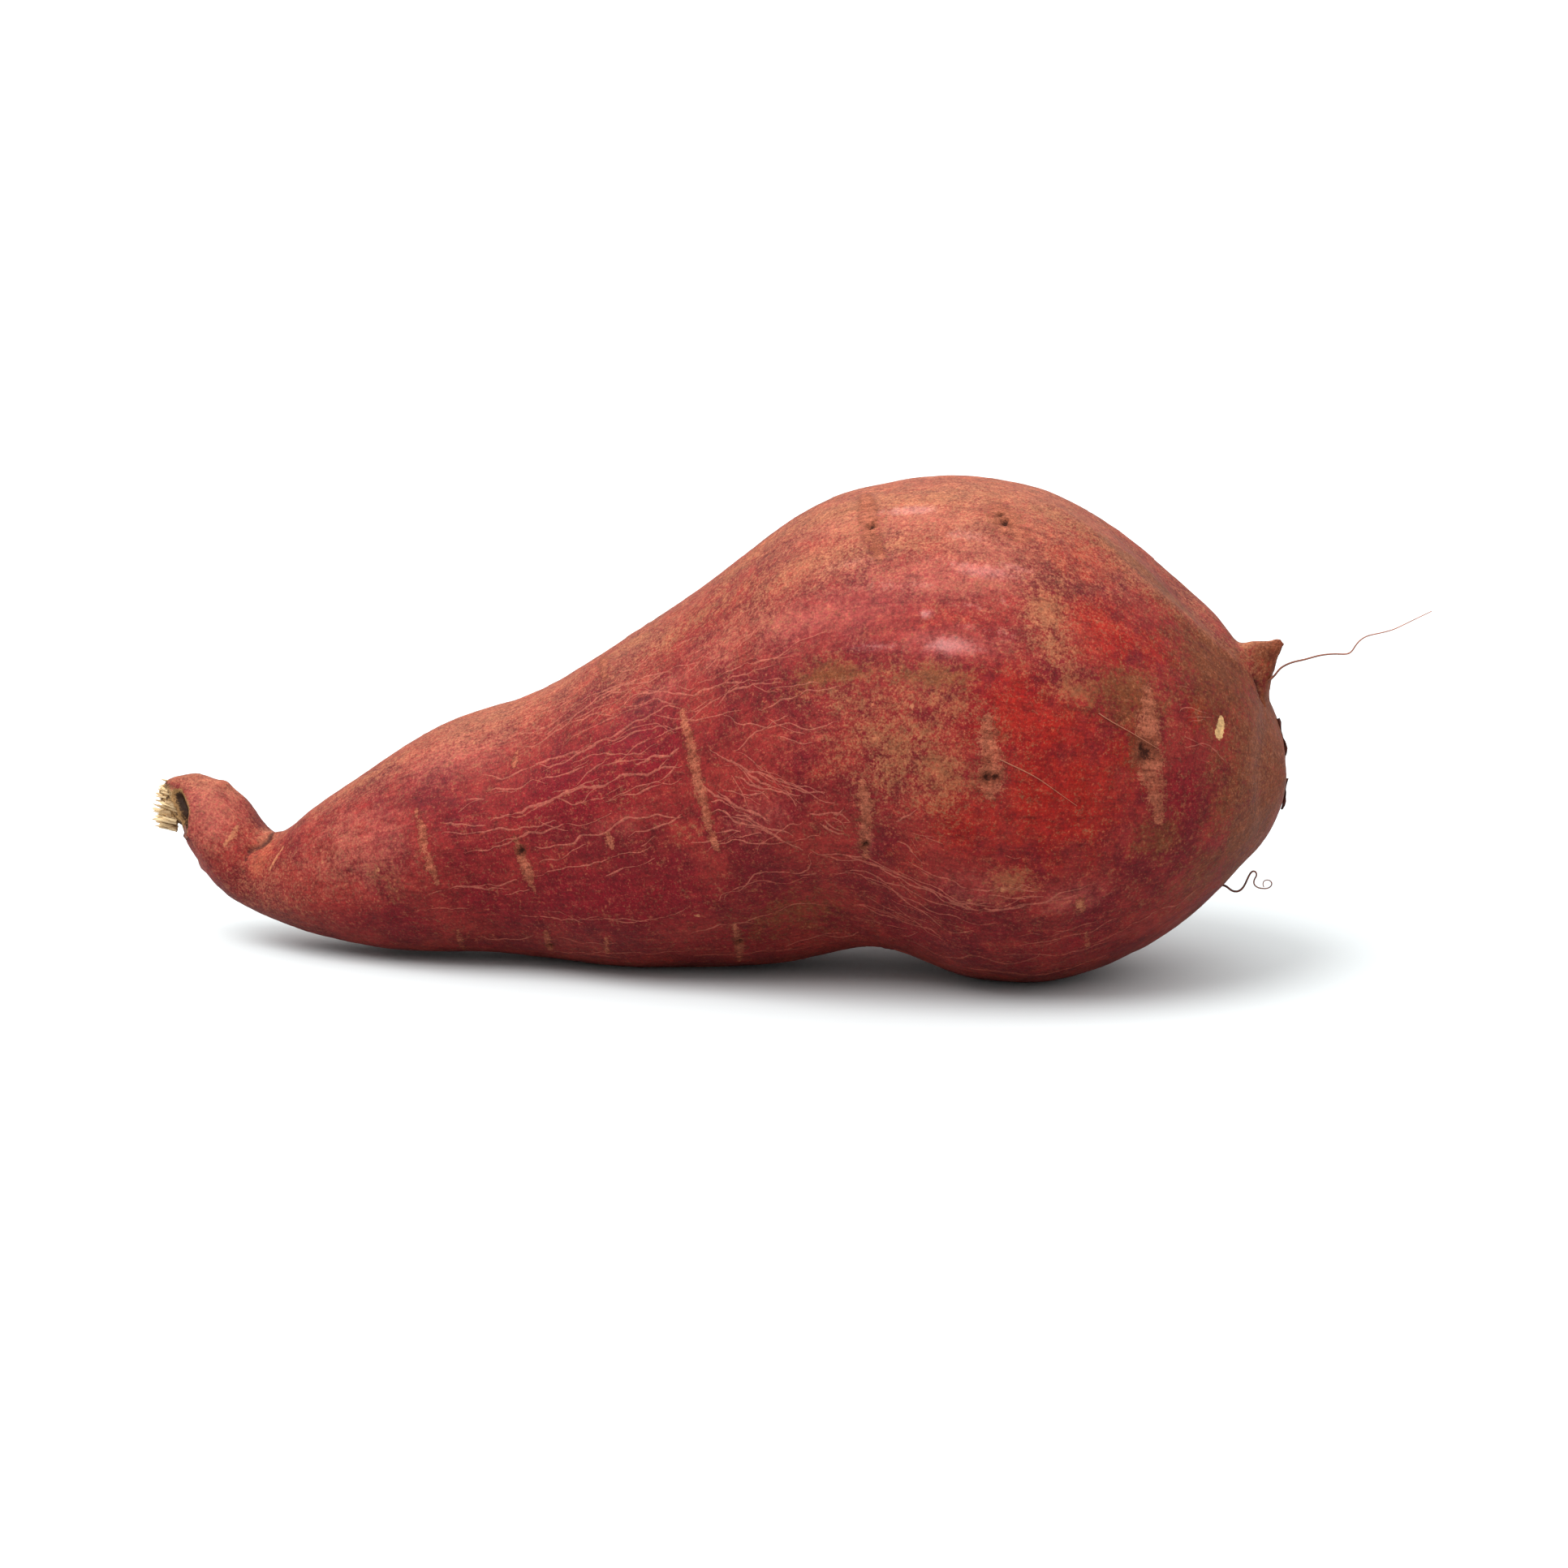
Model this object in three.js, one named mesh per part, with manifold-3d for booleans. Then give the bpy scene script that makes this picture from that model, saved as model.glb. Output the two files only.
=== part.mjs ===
// A red-skinned sweet potato lying on a flat surface, in millimetres, Z up.
// A storage root grows as one piece, so it is one closed solid. It is a bulb with a long neck, a
// stalk that bends up and was broken off, a thorn-shaped spur at the root end and two hair roots.
// X runs from the stalk to the root end, and Y runs from the front to the back. The dimensions
// below count X from the broken stalk and Z from the surface that the root lies on.
import * as THREE from "three";
import { mergeVertices } from "three/addons/utils/BufferGeometryUtils.js";
import Module from "manifold-3d";

// Stations from the broken stalk to the root end. Each pairs a point of the upper outline with the
// point of the lower outline that lies across the root from it, both as [x, z]. back is how far the
// middle of the root bows to the rear there, and breadth is its width as a share of its height.
const STATIONS = [
  { top: [1.3, 24.7], base: [4.8, 16.2], back: 27, breadth: 0.95 },
  { top: [4, 25.2], base: [5.8, 15], back: 26.5, breadth: 0.95 },
  { top: [7, 25.7], base: [6.6, 14], back: 26, breadth: 0.95 },
  { top: [10, 25.2], base: [7.6, 12.8], back: 25, breadth: 0.95 },
  { top: [12.6, 24], base: [9, 11], back: 24, breadth: 0.95 },
  { top: [14.6, 22.4], base: [10.6, 9.2], back: 23, breadth: 0.98 },
  { top: [16.3, 20.2], base: [12.6, 7.4], back: 22, breadth: 1.02 },
  { top: [17.6, 18.4], base: [14.9, 5.9], back: 21.2, breadth: 1.1 },
  { top: [19, 17.2], base: [17.4, 4.9], back: 20.4, breadth: 1.2 },
  { top: [20.3, 17.3], base: [20, 4.1], back: 19.6, breadth: 1.2 },
  { top: [22.8, 19.2], base: [23, 3.3], back: 18.5, breadth: 1.12 },
  { top: [27, 23.1], base: [27, 2.4], back: 17, breadth: 1.05 },
  { top: [33.5, 27.7], base: [33.5, 1.3], back: 15, breadth: 1 },
  { top: [40, 32.5], base: [40, 0.7], back: 13.5, breadth: 0.98 },
  { top: [46.5, 36.5], base: [46.5, 0.8], back: 12.3, breadth: 0.98 },
  { top: [53, 38.9], base: [53, 1], back: 11.5, breadth: 0.98 },
  { top: [59, 40.9], base: [59, 0.7], back: 11, breadth: 0.98 },
  { top: [65.5, 44.2], base: [65.5, 0.3], back: 10, breadth: 0.97 },
  { top: [72, 48.7], base: [72, -0.3], back: 9, breadth: 0.96 },
  { top: [78, 52.7], base: [78, -0.6], back: 8, breadth: 0.95 },
  { top: [84.5, 57.2], base: [84.5, -0.3], back: 7.5, breadth: 0.94 },
  { top: [91, 62.3], base: [91, 0], back: 6.8, breadth: 0.94 },
  { top: [97, 67], base: [97, 0.5], back: 6, breadth: 0.94 },
  { top: [103, 71.3], base: [103, 1.5], back: 5, breadth: 0.95 },
  { top: [109.5, 74.5], base: [109.5, 3.4], back: 4, breadth: 0.97 },
  { top: [115.5, 75.9], base: [115.5, 4.2], back: 3, breadth: 0.98 },
  { top: [122, 76.9], base: [122, 2.6], back: 2.2, breadth: 0.98 },
  { top: [128, 77], base: [128, 0], back: 1.5, breadth: 0.97 },
  { top: [134.5, 76.2], base: [134.5, -0.8], back: 1, breadth: 0.96 },
  { top: [140.5, 74.6], base: [140.5, -0.8], back: 0.5, breadth: 0.96 },
  { top: [147, 71.4], base: [147, 0.9], back: 0, breadth: 0.97 },
  { top: [153, 67.4], base: [153, 3.6], back: -0.5, breadth: 0.98 },
  { top: [159.5, 61.8], base: [159.5, 7.4], back: -1, breadth: 1 },
  { top: [165.5, 55.8], base: [165.5, 12.6], back: -1.5, breadth: 1.05 },
  { top: [170.6, 49.4], base: [170.6, 18], back: -2, breadth: 1.1 },
  { top: [174.3, 41.5], base: [174.3, 22.4], back: -2.5, breadth: 1.15 },
  { top: [176, 37], base: [175.9, 26], back: -3, breadth: 1.2 },
  { top: [177, 31.8], base: [177, 31.8], back: -3, breadth: 1.2 },
];

// Soft swellings and hollows of the surface. x is along the root, and turn is the angle round it in
// degrees: 0 on top, 90 at the front, 180 underneath, 270 at the back. reach is the half length
// along the root and the half width round it, and rise is the height, negative for a hollow.
const SWELLS = [
  { x: 6.2, turn: 0, reach: [1.2, 1.6], rise: 0.7 },
  { x: 12.6, turn: -6, reach: [1.2, 1.6], rise: 0.5 },
  { x: 12, turn: 170, reach: [1.5, 1.8], rise: 0.9 },
  { x: 18, turn: 80, reach: [1.8, 5], rise: -0.9 },
  { x: 36, turn: 97, reach: [3.5, 3], rise: -1.2 },
  { x: 39, turn: 70, reach: [7, 8], rise: 0.5 },
  { x: 80, turn: 118, reach: [16, 10], rise: 0.9 },
  { x: 106, turn: 132, reach: [9, 12], rise: -1.8 },
  { x: 113, turn: 78, reach: [7, 13], rise: -0.8 },
  { x: 129, turn: 62, reach: [12, 14], rise: 0.7 },
  { x: 148, turn: 14, reach: [8, 3.5], rise: 0.7 },
  { x: 158, turn: 30, reach: [7, 3.4], rise: 1.1 },
  { x: 152, turn: 1, reach: [9, 3.5], rise: -0.9 },
  { x: 162, turn: 8, reach: [7, 5], rise: -1.2 },
  { x: 166, turn: -6, reach: [3.5, 5], rise: 0.8 },
  { x: 167, turn: 82, reach: [5, 7], rise: -0.6 },
  { x: 64, turn: 285, reach: [14, 9], rise: 1 },
  { x: 94, turn: 262, reach: [10, 12], rise: -1.6 },
  { x: 124, turn: 300, reach: [12, 10], rise: 1 },
  { x: 142, turn: 245, reach: [10, 12], rise: 1.2 },
  { x: 54, turn: 225, reach: [9, 6], rise: -0.8 },
];

// Long shallow furrows that follow the root: their depth, how many run round it, how far they turn
// in each millimetre, and the radius from which they have their full depth.
const FURROW_DEPTH = 0.35;
const FURROWS_ROUND = 5;
const FURROW_TWIST = 0.018;
const FURROW_FULL_RADIUS = 20;

// The mesh: facets round the root and the distance between rings along it.
const SIDES = 52;
const RING_STEP = 3;

// The torn end of the stalk. The skin is torn back further at the front, round a ring of hollow
// from which the woody core stands out.
const TEAR_BACK = 2.4;
const TEAR_FADES_OVER = 4;
const STALK_END = [
  { share: 0.9, inward: 0.2, back: 0 },
  { share: 0.8, inward: 2.2, back: 0.3 },
  { share: 0.7, inward: 2, back: 0.7 },
  { share: 0.64, inward: -1.3, back: 0.9 },
  { share: 0.36, inward: -2, back: 1 },
];

// The thorn-shaped spur: its profile as [radius, height along it], the point that its foot is
// centred on, the point that its tip reaches, and its breadth from front to back against its height.
const SPUR_PROFILE = [
  [0, -4], [7.6, -4], [7, 1.2], [5.2, 3], [3.7, 4.8], [2.1, 7.4], [1.3, 8.8], [0.8, 10.1], [0, 10.4],
];
const SPUR_FOOT = [168.5, -1, 45.6];
const SPUR_TIP = [175.3, -0.6, 51.7];
const SPUR_BREADTH = 0.62;
const SPUR_SIDES = 18;

// The hair roots, as the points that each passes through, from inside the skin to its tip.
const HAIR_THICKNESS = 0.8;
const HAIR_SIDES = 5;
const LONG_HAIR = [
  [170.5, -1, 44.8], [172.7, -2, 45.7], [174.6, -3, 47.1], [176.6, -3.5, 49.2], [179.3, -4, 50.1],
  [184, -4.5, 51], [186.3, -4.8, 51.6], [188, -5, 53.5], [191.8, -5.4, 54.8], [194.2, -5.7, 55.8],
  [198.2, -6.2, 57.9],
];
const CURLED_HAIR = [
  [162, -2, 15.2], [165.6, -4, 14.9], [167.6, -5.2, 14.7], [169.2, -6, 14.1], [170.4, -6.6, 15.3],
  [171.5, -7.4, 17.3], [172.3, -8.2, 15.8], [173.6, -8.8, 15], [174.5, -9.4, 16.2],
];

// Colour and finish of the skin.
const SKIN = new THREE.MeshStandardMaterial({
  name: "skin",
  color: 0xa8483f,
  roughness: 0.55,
  metalness: 0,
});

const wasm = await Module();
wasm.setup();

// A share of 1 at the middle of a bump that falls off smoothly to nothing.
function falloff(distance) {
  return Math.exp(-distance * distance);
}

// The smallest turn between two angles in degrees.
function turnBetween(a, b) {
  return ((((a - b) % 360) + 540) % 360) - 180;
}

// The side outline as one curve: along the top to the root end, and back along the underside.
function sideOutline() {
  const over = STATIONS.map((s) => new THREE.Vector3(s.top[0], s.back, s.top[1]));
  const under = STATIONS.slice(0, -1).map((s) => new THREE.Vector3(s.base[0], s.back, s.base[1]));
  return new THREE.CatmullRomCurve3([...over, ...under.reverse()]);
}

// Station numbers, whole and in between, at which the root gets a ring of vertices.
function ringPlaces() {
  const places = [];
  for (let i = 0; i + 1 < STATIONS.length; i += 1) {
    const [here, next] = [STATIONS[i], STATIONS[i + 1]];
    const apart = (a, b) => Math.hypot(b[0] - a[0], b[1] - a[1]);
    const travel = (apart(here.top, next.top) + apart(here.base, next.base)) / 2;
    const steps = Math.max(1, Math.round(travel / RING_STEP));
    for (let step = 0; step < steps; step += 1) places.push(i + step / steps);
  }
  return places;
}

// The middle of the root at a place, half of its height as a vector, and its breadth there.
function sectionAt(outline, breadths, place) {
  const last = STATIONS.length - 1;
  const top = outline.getPoint(place / last / 2);
  const base = outline.getPoint(1 - place / last / 2);
  const middle = top.clone().add(base).multiplyScalar(0.5);
  const up = top.clone().sub(base).multiplyScalar(0.5);
  return { middle, up, breadth: breadths.getPoint(place / last).y };
}

// How far the skin stands out from a plain oval section, at x and at an angle round the root.
function relief(x, turn, radius) {
  const swells = SWELLS.map((s) => {
    const along = (x - s.x) / s.reach[0];
    const round = (THREE.MathUtils.degToRad(turnBetween(turn, s.turn)) * radius) / s.reach[1];
    return s.rise * falloff(Math.hypot(along, round));
  });
  const angle = THREE.MathUtils.degToRad(turn);
  const furrow = Math.cos(FURROWS_ROUND * (angle + FURROW_TWIST * x)) * Math.sin(angle) ** 2;
  const fade = Math.min(1, radius / FURROW_FULL_RADIUS);
  return swells.reduce((sum, rise) => sum + rise, 0) + FURROW_DEPTH * fade * furrow;
}

// One ring of the skin, as points in order round the root.
function skinRing(section, ahead, fromEnd) {
  const { middle, up, breadth } = section;
  const radius = up.length();
  const toFront = ahead.clone().cross(up).normalize().multiplyScalar(radius * breadth);
  const tear = TEAR_BACK * Math.max(0, 1 - fromEnd / TEAR_FADES_OVER);
  return Array.from({ length: SIDES }, (_, i) => {
    const angle = (i / SIDES) * Math.PI * 2;
    const out = up.clone().multiplyScalar(Math.cos(angle)).addScaledVector(toFront, Math.sin(angle));
    const rise = relief(middle.x, THREE.MathUtils.radToDeg(angle), radius);
    const point = middle.clone().add(out).addScaledVector(out.normalize(), rise);
    point.addScaledVector(ahead, tear * Math.max(0, Math.sin(angle)));
    point.z = Math.max(point.z, 0); // flat where the root lies on the surface
    return point;
  });
}

// The rings that turn in at the broken stalk, from its core out to its rim.
function stalkEndRings(section, ahead) {
  const rim = skinRing(section, ahead, 0);
  return STALK_END.map(({ share, inward, back }) => {
    const middle = section.middle.clone().addScaledVector(ahead, inward).add(new THREE.Vector3(0, back, 0));
    return rim.map((point) => point.clone().sub(section.middle).multiplyScalar(share).add(middle));
  }).reverse();
}

// A closed surface over rings of points, with a cap to a point at each end.
function surfaceOver(rings, firstPole, lastPole) {
  const points = [firstPole, ...rings.flat(), lastPole];
  const corner = (ring, i) => 1 + ring * SIDES + (i % SIDES);
  const faces = [];
  for (let i = 0; i < SIDES; i += 1) {
    faces.push(0, corner(0, i + 1), corner(0, i));
    faces.push(points.length - 1, corner(rings.length - 1, i), corner(rings.length - 1, i + 1));
    for (let ring = 0; ring + 1 < rings.length; ring += 1) {
      const [a, b] = [corner(ring, i), corner(ring, i + 1)];
      const [c, d] = [corner(ring + 1, i + 1), corner(ring + 1, i)];
      faces.push(a, b, d, b, c, d);
    }
  }
  return new THREE.BufferGeometry().setFromPoints(points).setIndex(faces);
}

// The root from its broken stalk to its root end.
function rootBody() {
  const outline = sideOutline();
  const breadths = new THREE.SplineCurve(STATIONS.map((s, i) => new THREE.Vector2(i, s.breadth)));
  const sections = ringPlaces().map((place) => sectionAt(outline, breadths, place));
  const ahead = sections.map((_, i) => {
    const [before, after] = [sections[Math.max(i - 1, 0)], sections[Math.min(i + 1, sections.length - 1)]];
    return after.middle.clone().sub(before.middle).normalize();
  });
  const fromEnd = sections.map((s) => s.middle.distanceTo(sections[0].middle));
  const skin = sections.map((s, i) => skinRing(s, ahead[i], fromEnd[i]));
  const core = stalkEndRings(sections[0], ahead[0]);
  const coreTip = core[0].reduce((sum, point) => sum.add(point), new THREE.Vector3()).divideScalar(SIDES);
  return surfaceOver([...core, ...skin], coreTip, outline.getPoint(0.5));
}

// The spur, a thorn with a flared foot that sinks into the root.
function spur() {
  const profile = SPUR_PROFILE.map(([radius, height]) => new THREE.Vector2(radius, height));
  const foot = new THREE.Vector3(...SPUR_FOOT);
  const along = new THREE.Vector3(...SPUR_TIP).sub(foot).normalize();
  const across = along.clone().cross(new THREE.Vector3(0, 1, 0)).normalize();
  const toBack = across.clone().cross(along);
  const placed = new THREE.Matrix4().makeBasis(across, along, toBack).setPosition(foot);
  return new THREE.LatheGeometry(profile, SPUR_SIDES).scale(1, 1, SPUR_BREADTH).applyMatrix4(placed);
}

// A hair root, a thin tube along a curve.
function hairRoot(points) {
  const path = new THREE.CatmullRomCurve3(points.map((p) => new THREE.Vector3(...p)));
  const section = new THREE.Shape().absarc(0, 0, HAIR_THICKNESS / 2, 0, Math.PI * 2);
  const sides = Array.from({ length: HAIR_SIDES }, (_, i) => section.getPoint(i / HAIR_SIDES));
  const steps = 3 * (points.length - 1);
  return new THREE.ExtrudeGeometry(new THREE.Shape(sides), { extrudePath: path, steps });
}

// A closed three.js geometry as a manifold-3d solid.
function solid(geometry) {
  const bare = geometry.clone();
  bare.deleteAttribute("normal");
  bare.deleteAttribute("uv");
  const merged = mergeVertices(bare, 1e-4);
  const vertProperties = merged.getAttribute("position").array;
  const triVerts = new Uint32Array(merged.index.array);
  return new wasm.Manifold(new wasm.Mesh({ numProp: 3, vertProperties, triVerts }));
}

// A manifold-3d solid as a three.js geometry.
function geometryOf(made) {
  const { vertProperties, triVerts } = made.getMesh();
  const geometry = new THREE.BufferGeometry();
  geometry.setAttribute("position", new THREE.BufferAttribute(vertProperties, 3));
  geometry.setIndex(new THREE.BufferAttribute(triVerts, 1));
  geometry.computeVertexNormals();
  return geometry;
}

// The whole sweet potato, with the middle of its underside at the origin.
function sweetPotato() {
  const pieces = [spur(), hairRoot(LONG_HAIR), hairRoot(CURLED_HAIR)].map(solid);
  const geometry = geometryOf(pieces.reduce((whole, piece) => whole.add(piece), solid(rootBody())));
  geometry.computeBoundingBox();
  const middle = geometry.boundingBox.getCenter(new THREE.Vector3());
  const mesh = new THREE.Mesh(geometry, SKIN);
  mesh.name = "sweet_potato";
  mesh.position.set(-middle.x, -middle.y, 0);
  return mesh;
}

const part = new THREE.Group();
part.add(sweetPotato());
export default part;
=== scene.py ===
"""A red-skinned sweet potato on a white table, in metres, Z up.

The stalk end points along -X and the root end along +X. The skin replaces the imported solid. Marks
that the photo shows are laid on the skin by casting rays from the photo's camera, and the marks of
the other sides are laid by their distance along the root and their turn round it.
"""
import math
import random

import bmesh
import bpy
import numpy as np
from mathutils import Matrix, Vector, kdtree, noise
from mathutils.bvhtree import BVHTree


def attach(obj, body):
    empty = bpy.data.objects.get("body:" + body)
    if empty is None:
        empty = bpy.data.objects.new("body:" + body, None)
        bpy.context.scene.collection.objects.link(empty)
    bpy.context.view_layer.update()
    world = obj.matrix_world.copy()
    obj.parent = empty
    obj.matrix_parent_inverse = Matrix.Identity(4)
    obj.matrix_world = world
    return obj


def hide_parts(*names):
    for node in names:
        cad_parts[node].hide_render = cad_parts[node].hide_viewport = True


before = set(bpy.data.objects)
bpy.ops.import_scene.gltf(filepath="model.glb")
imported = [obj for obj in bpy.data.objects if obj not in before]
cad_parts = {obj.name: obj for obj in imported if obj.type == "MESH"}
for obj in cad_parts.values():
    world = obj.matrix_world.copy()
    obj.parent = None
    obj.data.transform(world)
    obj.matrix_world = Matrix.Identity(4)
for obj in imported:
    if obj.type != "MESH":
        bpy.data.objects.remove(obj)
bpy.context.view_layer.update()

MM = 0.001

# Where the root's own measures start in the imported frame: X at the broken stalk, Z at the table.
ROOT_START = Vector((-99.445, -1.077, 0)) * MM

# The photo's frame and camera.
PHOTO_PIXELS = 1932
PIXEL_SIZE = 0.125 * MM
CAMERA_ELEVATION = math.radians(12)
CAMERA_DISTANCE = 1.0
CAMERA_AIM = ROOT_START + Vector((99.8, 1.63, 29.4)) * MM

# The middle of the root from the stalk to the root end, in millimetres from its start.
GROWTH_LINE = [
    (1, 27.6, 21.4), (3, 27, 20.5), (10, 25, 18.8), (15, 22.6, 14.5), (19, 20.4, 11),
    (27, 17, 12.6), (40, 13.5, 16.6), (53, 11.5, 20), (65, 10, 22.3), (78, 8, 26), (91, 6.8, 31),
    (103, 5, 36.4), (115, 3, 40), (128, 1.5, 38.7), (140, 0.5, 36.8), (153, -0.5, 35.3),
    (166, -1.5, 34.2), (172, -2.4, 33),
]
MEAN_GIRTH_RADIUS = 24.0

# How finely that line is laid out, how many of its places are evened out together, how many
# vertices are set against it at a time, and how far the ends reach past it in millimetres.
GROWTH_PLACES = 240
GROWTH_EVENED = 9
VERTICES_AT_A_TIME = 8000
ENDS_REACH = 6

# Spacing of the skin's mesh, and how often it is evened out to round off the solid's facets.
SKIN_STEP = 0.68 * MM
SOFTENING = 14

# Sharp places that are softened less: the spur's tip and the broken face of the stalk.
SPUR_TIP = (175.3, -0.6, 51.7)
SPUR_TIP_REACH = 4.5
STALK_FACE = (3, 26.4, 20.4)
STALK_FACE_REACH = 6.5
SHARP_KEEPS = 0.9


def at(x, y, z):
    """A place given in millimetres from the root's start."""
    return ROOT_START + Vector((x, y, z)) * MM


def falloff(distance):
    """1 at nothing, falling off smoothly."""
    return np.exp(-distance * distance)


def close_to(mm, place, reach):
    """1 at a place and falling off with the distance from it. All are in millimetres."""
    return falloff(np.linalg.norm(mm - np.array(place), axis=1) / reach)


def smooth_step(value, low, high):
    """0 below low, 1 above high, and a smooth rise between."""
    t = np.clip((value - low) / (high - low), 0, 1)
    return t * t * (3 - 2 * t)


# Hair roots, from inside the skin to the tip, in millimetres from the root's start. The first
# points lie inside the solid's skin. The solid's own hairs reach this far from the line.
LONG_HAIR = [
    (171.8, -1.6, 45.2), (172.7, -2, 45.7), (173.7, -2.6, 46.3), (174.6, -3, 47.1),
    (175.3, -3.2, 48.2), (175.8, -3.3, 48.7), (176.8, -3.5, 49.3), (178, -3.7, 49.7),
    (179.3, -4, 50), (181.3, -4.2, 50.7), (182.8, -4.4, 50.9), (184, -4.5, 51), (185.5, -4.7, 50.9),
    (186.3, -4.8, 51.3), (186.9, -4.9, 52.5), (187.7, -5, 53.4), (188.8, -5.1, 54),
    (190.4, -5.3, 54.3), (191.8, -5.4, 54.7), (192.7, -5.5, 55), (194.2, -5.7, 55.8),
    (195.9, -5.9, 56.7), (198.2, -6.2, 57.9),
]
CURLED_HAIR = [
    (164.6, -3.4, 15), (165.6, -4, 14.9), (166.9, -5, 15), (167.6, -5.3, 14.9), (168.1, -5.5, 14.5),
    (168.5, -5.6, 14.2), (169, -5.8, 14.1), (169.6, -6, 14.2), (170.2, -6.2, 14.8),
    (170.6, -6.4, 15.7), (171, -6.6, 16.8), (171.4, -6.8, 17.5), (171.8, -6.9, 17.6),
    (172.1, -7, 17.4), (172.2, -7.1, 16.9), (171.8, -7.2, 16.4), (171.7, -7.3, 15.9),
    (171.8, -7.4, 15.5), (172.3, -7.5, 15.1), (173, -7.6, 15), (173.8, -7.7, 15),
    (174.4, -7.8, 15.4), (174.5, -7.9, 16), (174.1, -8, 16.4), (173.6, -8.1, 16.5),
    (173.1, -8.2, 16.3), (173, -8.3, 15.8), (173.2, -8.4, 15.4),
]
LONG_HAIR_LEAVES = 4
CURLED_HAIR_LEAVES = 2
SOLID_HAIR_REACH = 0.95 * MM


def distance_to_line(point, line):
    """How far a point is from a line of joined points."""
    nearest = 1.0
    for a, b in zip(line, line[1:]):
        span = b - a
        share = max(0.0, min(1.0, (point - a).dot(span) / span.length_squared))
        nearest = min(nearest, (point - a - span * share).length)
    return nearest


def mesh_of(holder):
    """The finished mesh of an object that only served to make it."""
    ready = holder.evaluated_get(bpy.context.evaluated_depsgraph_get())
    mesh = bpy.data.meshes.new_from_object(ready)
    bpy.data.objects.remove(holder)
    return mesh


def skin_blank():
    """A copy of the solid without its hair roots, as an even, softened mesh."""
    shape = bmesh.new()
    shape.from_mesh(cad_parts["sweet_potato"].data)
    bmesh.ops.remove_doubles(shape, verts=shape.verts, dist=0.001 * MM)
    outside = LONG_HAIR[LONG_HAIR_LEAVES:], CURLED_HAIR[CURLED_HAIR_LEAVES:]
    hairs = [[at(*p) for p in points] for points in outside]
    on_hair = []
    for v in shape.verts:
        if min(distance_to_line(v.co, hair) for hair in hairs) < SOLID_HAIR_REACH:
            on_hair.append(v)
    bmesh.ops.delete(shape, geom=on_hair, context="VERTS")
    bmesh.ops.holes_fill(shape, edges=[e for e in shape.edges if e.is_boundary])
    mesh = bpy.data.meshes.new("blank")
    shape.to_mesh(mesh)
    shape.free()
    blank = bpy.data.objects.new("blank", mesh)
    bpy.context.collection.objects.link(blank)
    even = blank.modifiers.new("even", "REMESH")
    even.mode = "VOXEL"
    even.voxel_size = SKIN_STEP
    made = mesh_of(blank)
    soften(made)
    return made


def soften(mesh):
    """Moves each vertex towards the middle of its neighbours, less at the sharp places."""
    count = len(mesh.vertices)
    co = np.empty(count * 3)
    mesh.vertices.foreach_get("co", co)
    co = co.reshape(-1, 3)
    ends = np.empty(len(mesh.edges) * 2, int)
    mesh.edges.foreach_get("vertices", ends)
    a, b = ends.reshape(-1, 2).T
    joined = np.bincount(np.concatenate([a, b]), minlength=count)
    mm = (co - np.array(ROOT_START)) / MM
    held = close_to(mm, SPUR_TIP, SPUR_TIP_REACH)
    held = np.maximum(held, close_to(mm, STALK_FACE, STALK_FACE_REACH))
    share = 0.5 * (1 - SHARP_KEEPS * held)
    for _ in range(SOFTENING):
        for axis in range(3):
            around = np.bincount(a, co[b, axis], count) + np.bincount(b, co[a, axis], count)
            co[:, axis] += share * (around / joined - co[:, axis])
    mesh.vertices.foreach_set("co", co.ravel())
    mesh.update()


def evened(line, count):
    """A line of points, with each one at the middle of an odd count of neighbours."""
    padded = np.pad(line, ((count // 2, count // 2), (0, 0)), mode="edge")
    share = np.ones(count) / count
    return np.stack([np.convolve(padded[:, i], share, "valid") for i in range(3)], 1)


# Ripples of the skin: how each finer octave fades, how much finer it is, and how far apart in
# the noise two seeds lie.
RIPPLE_FADE = 0.8
RIPPLE_FINER = 2.1
SEEDS_APART = 17.3

# Spacing of the points on a line over the skin, in millimetres, and how far round a stroke's line
# vertices are looked for, in half widths.
LINE_STEP = 0.35
STROKE_MARGIN = 2.2


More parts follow.
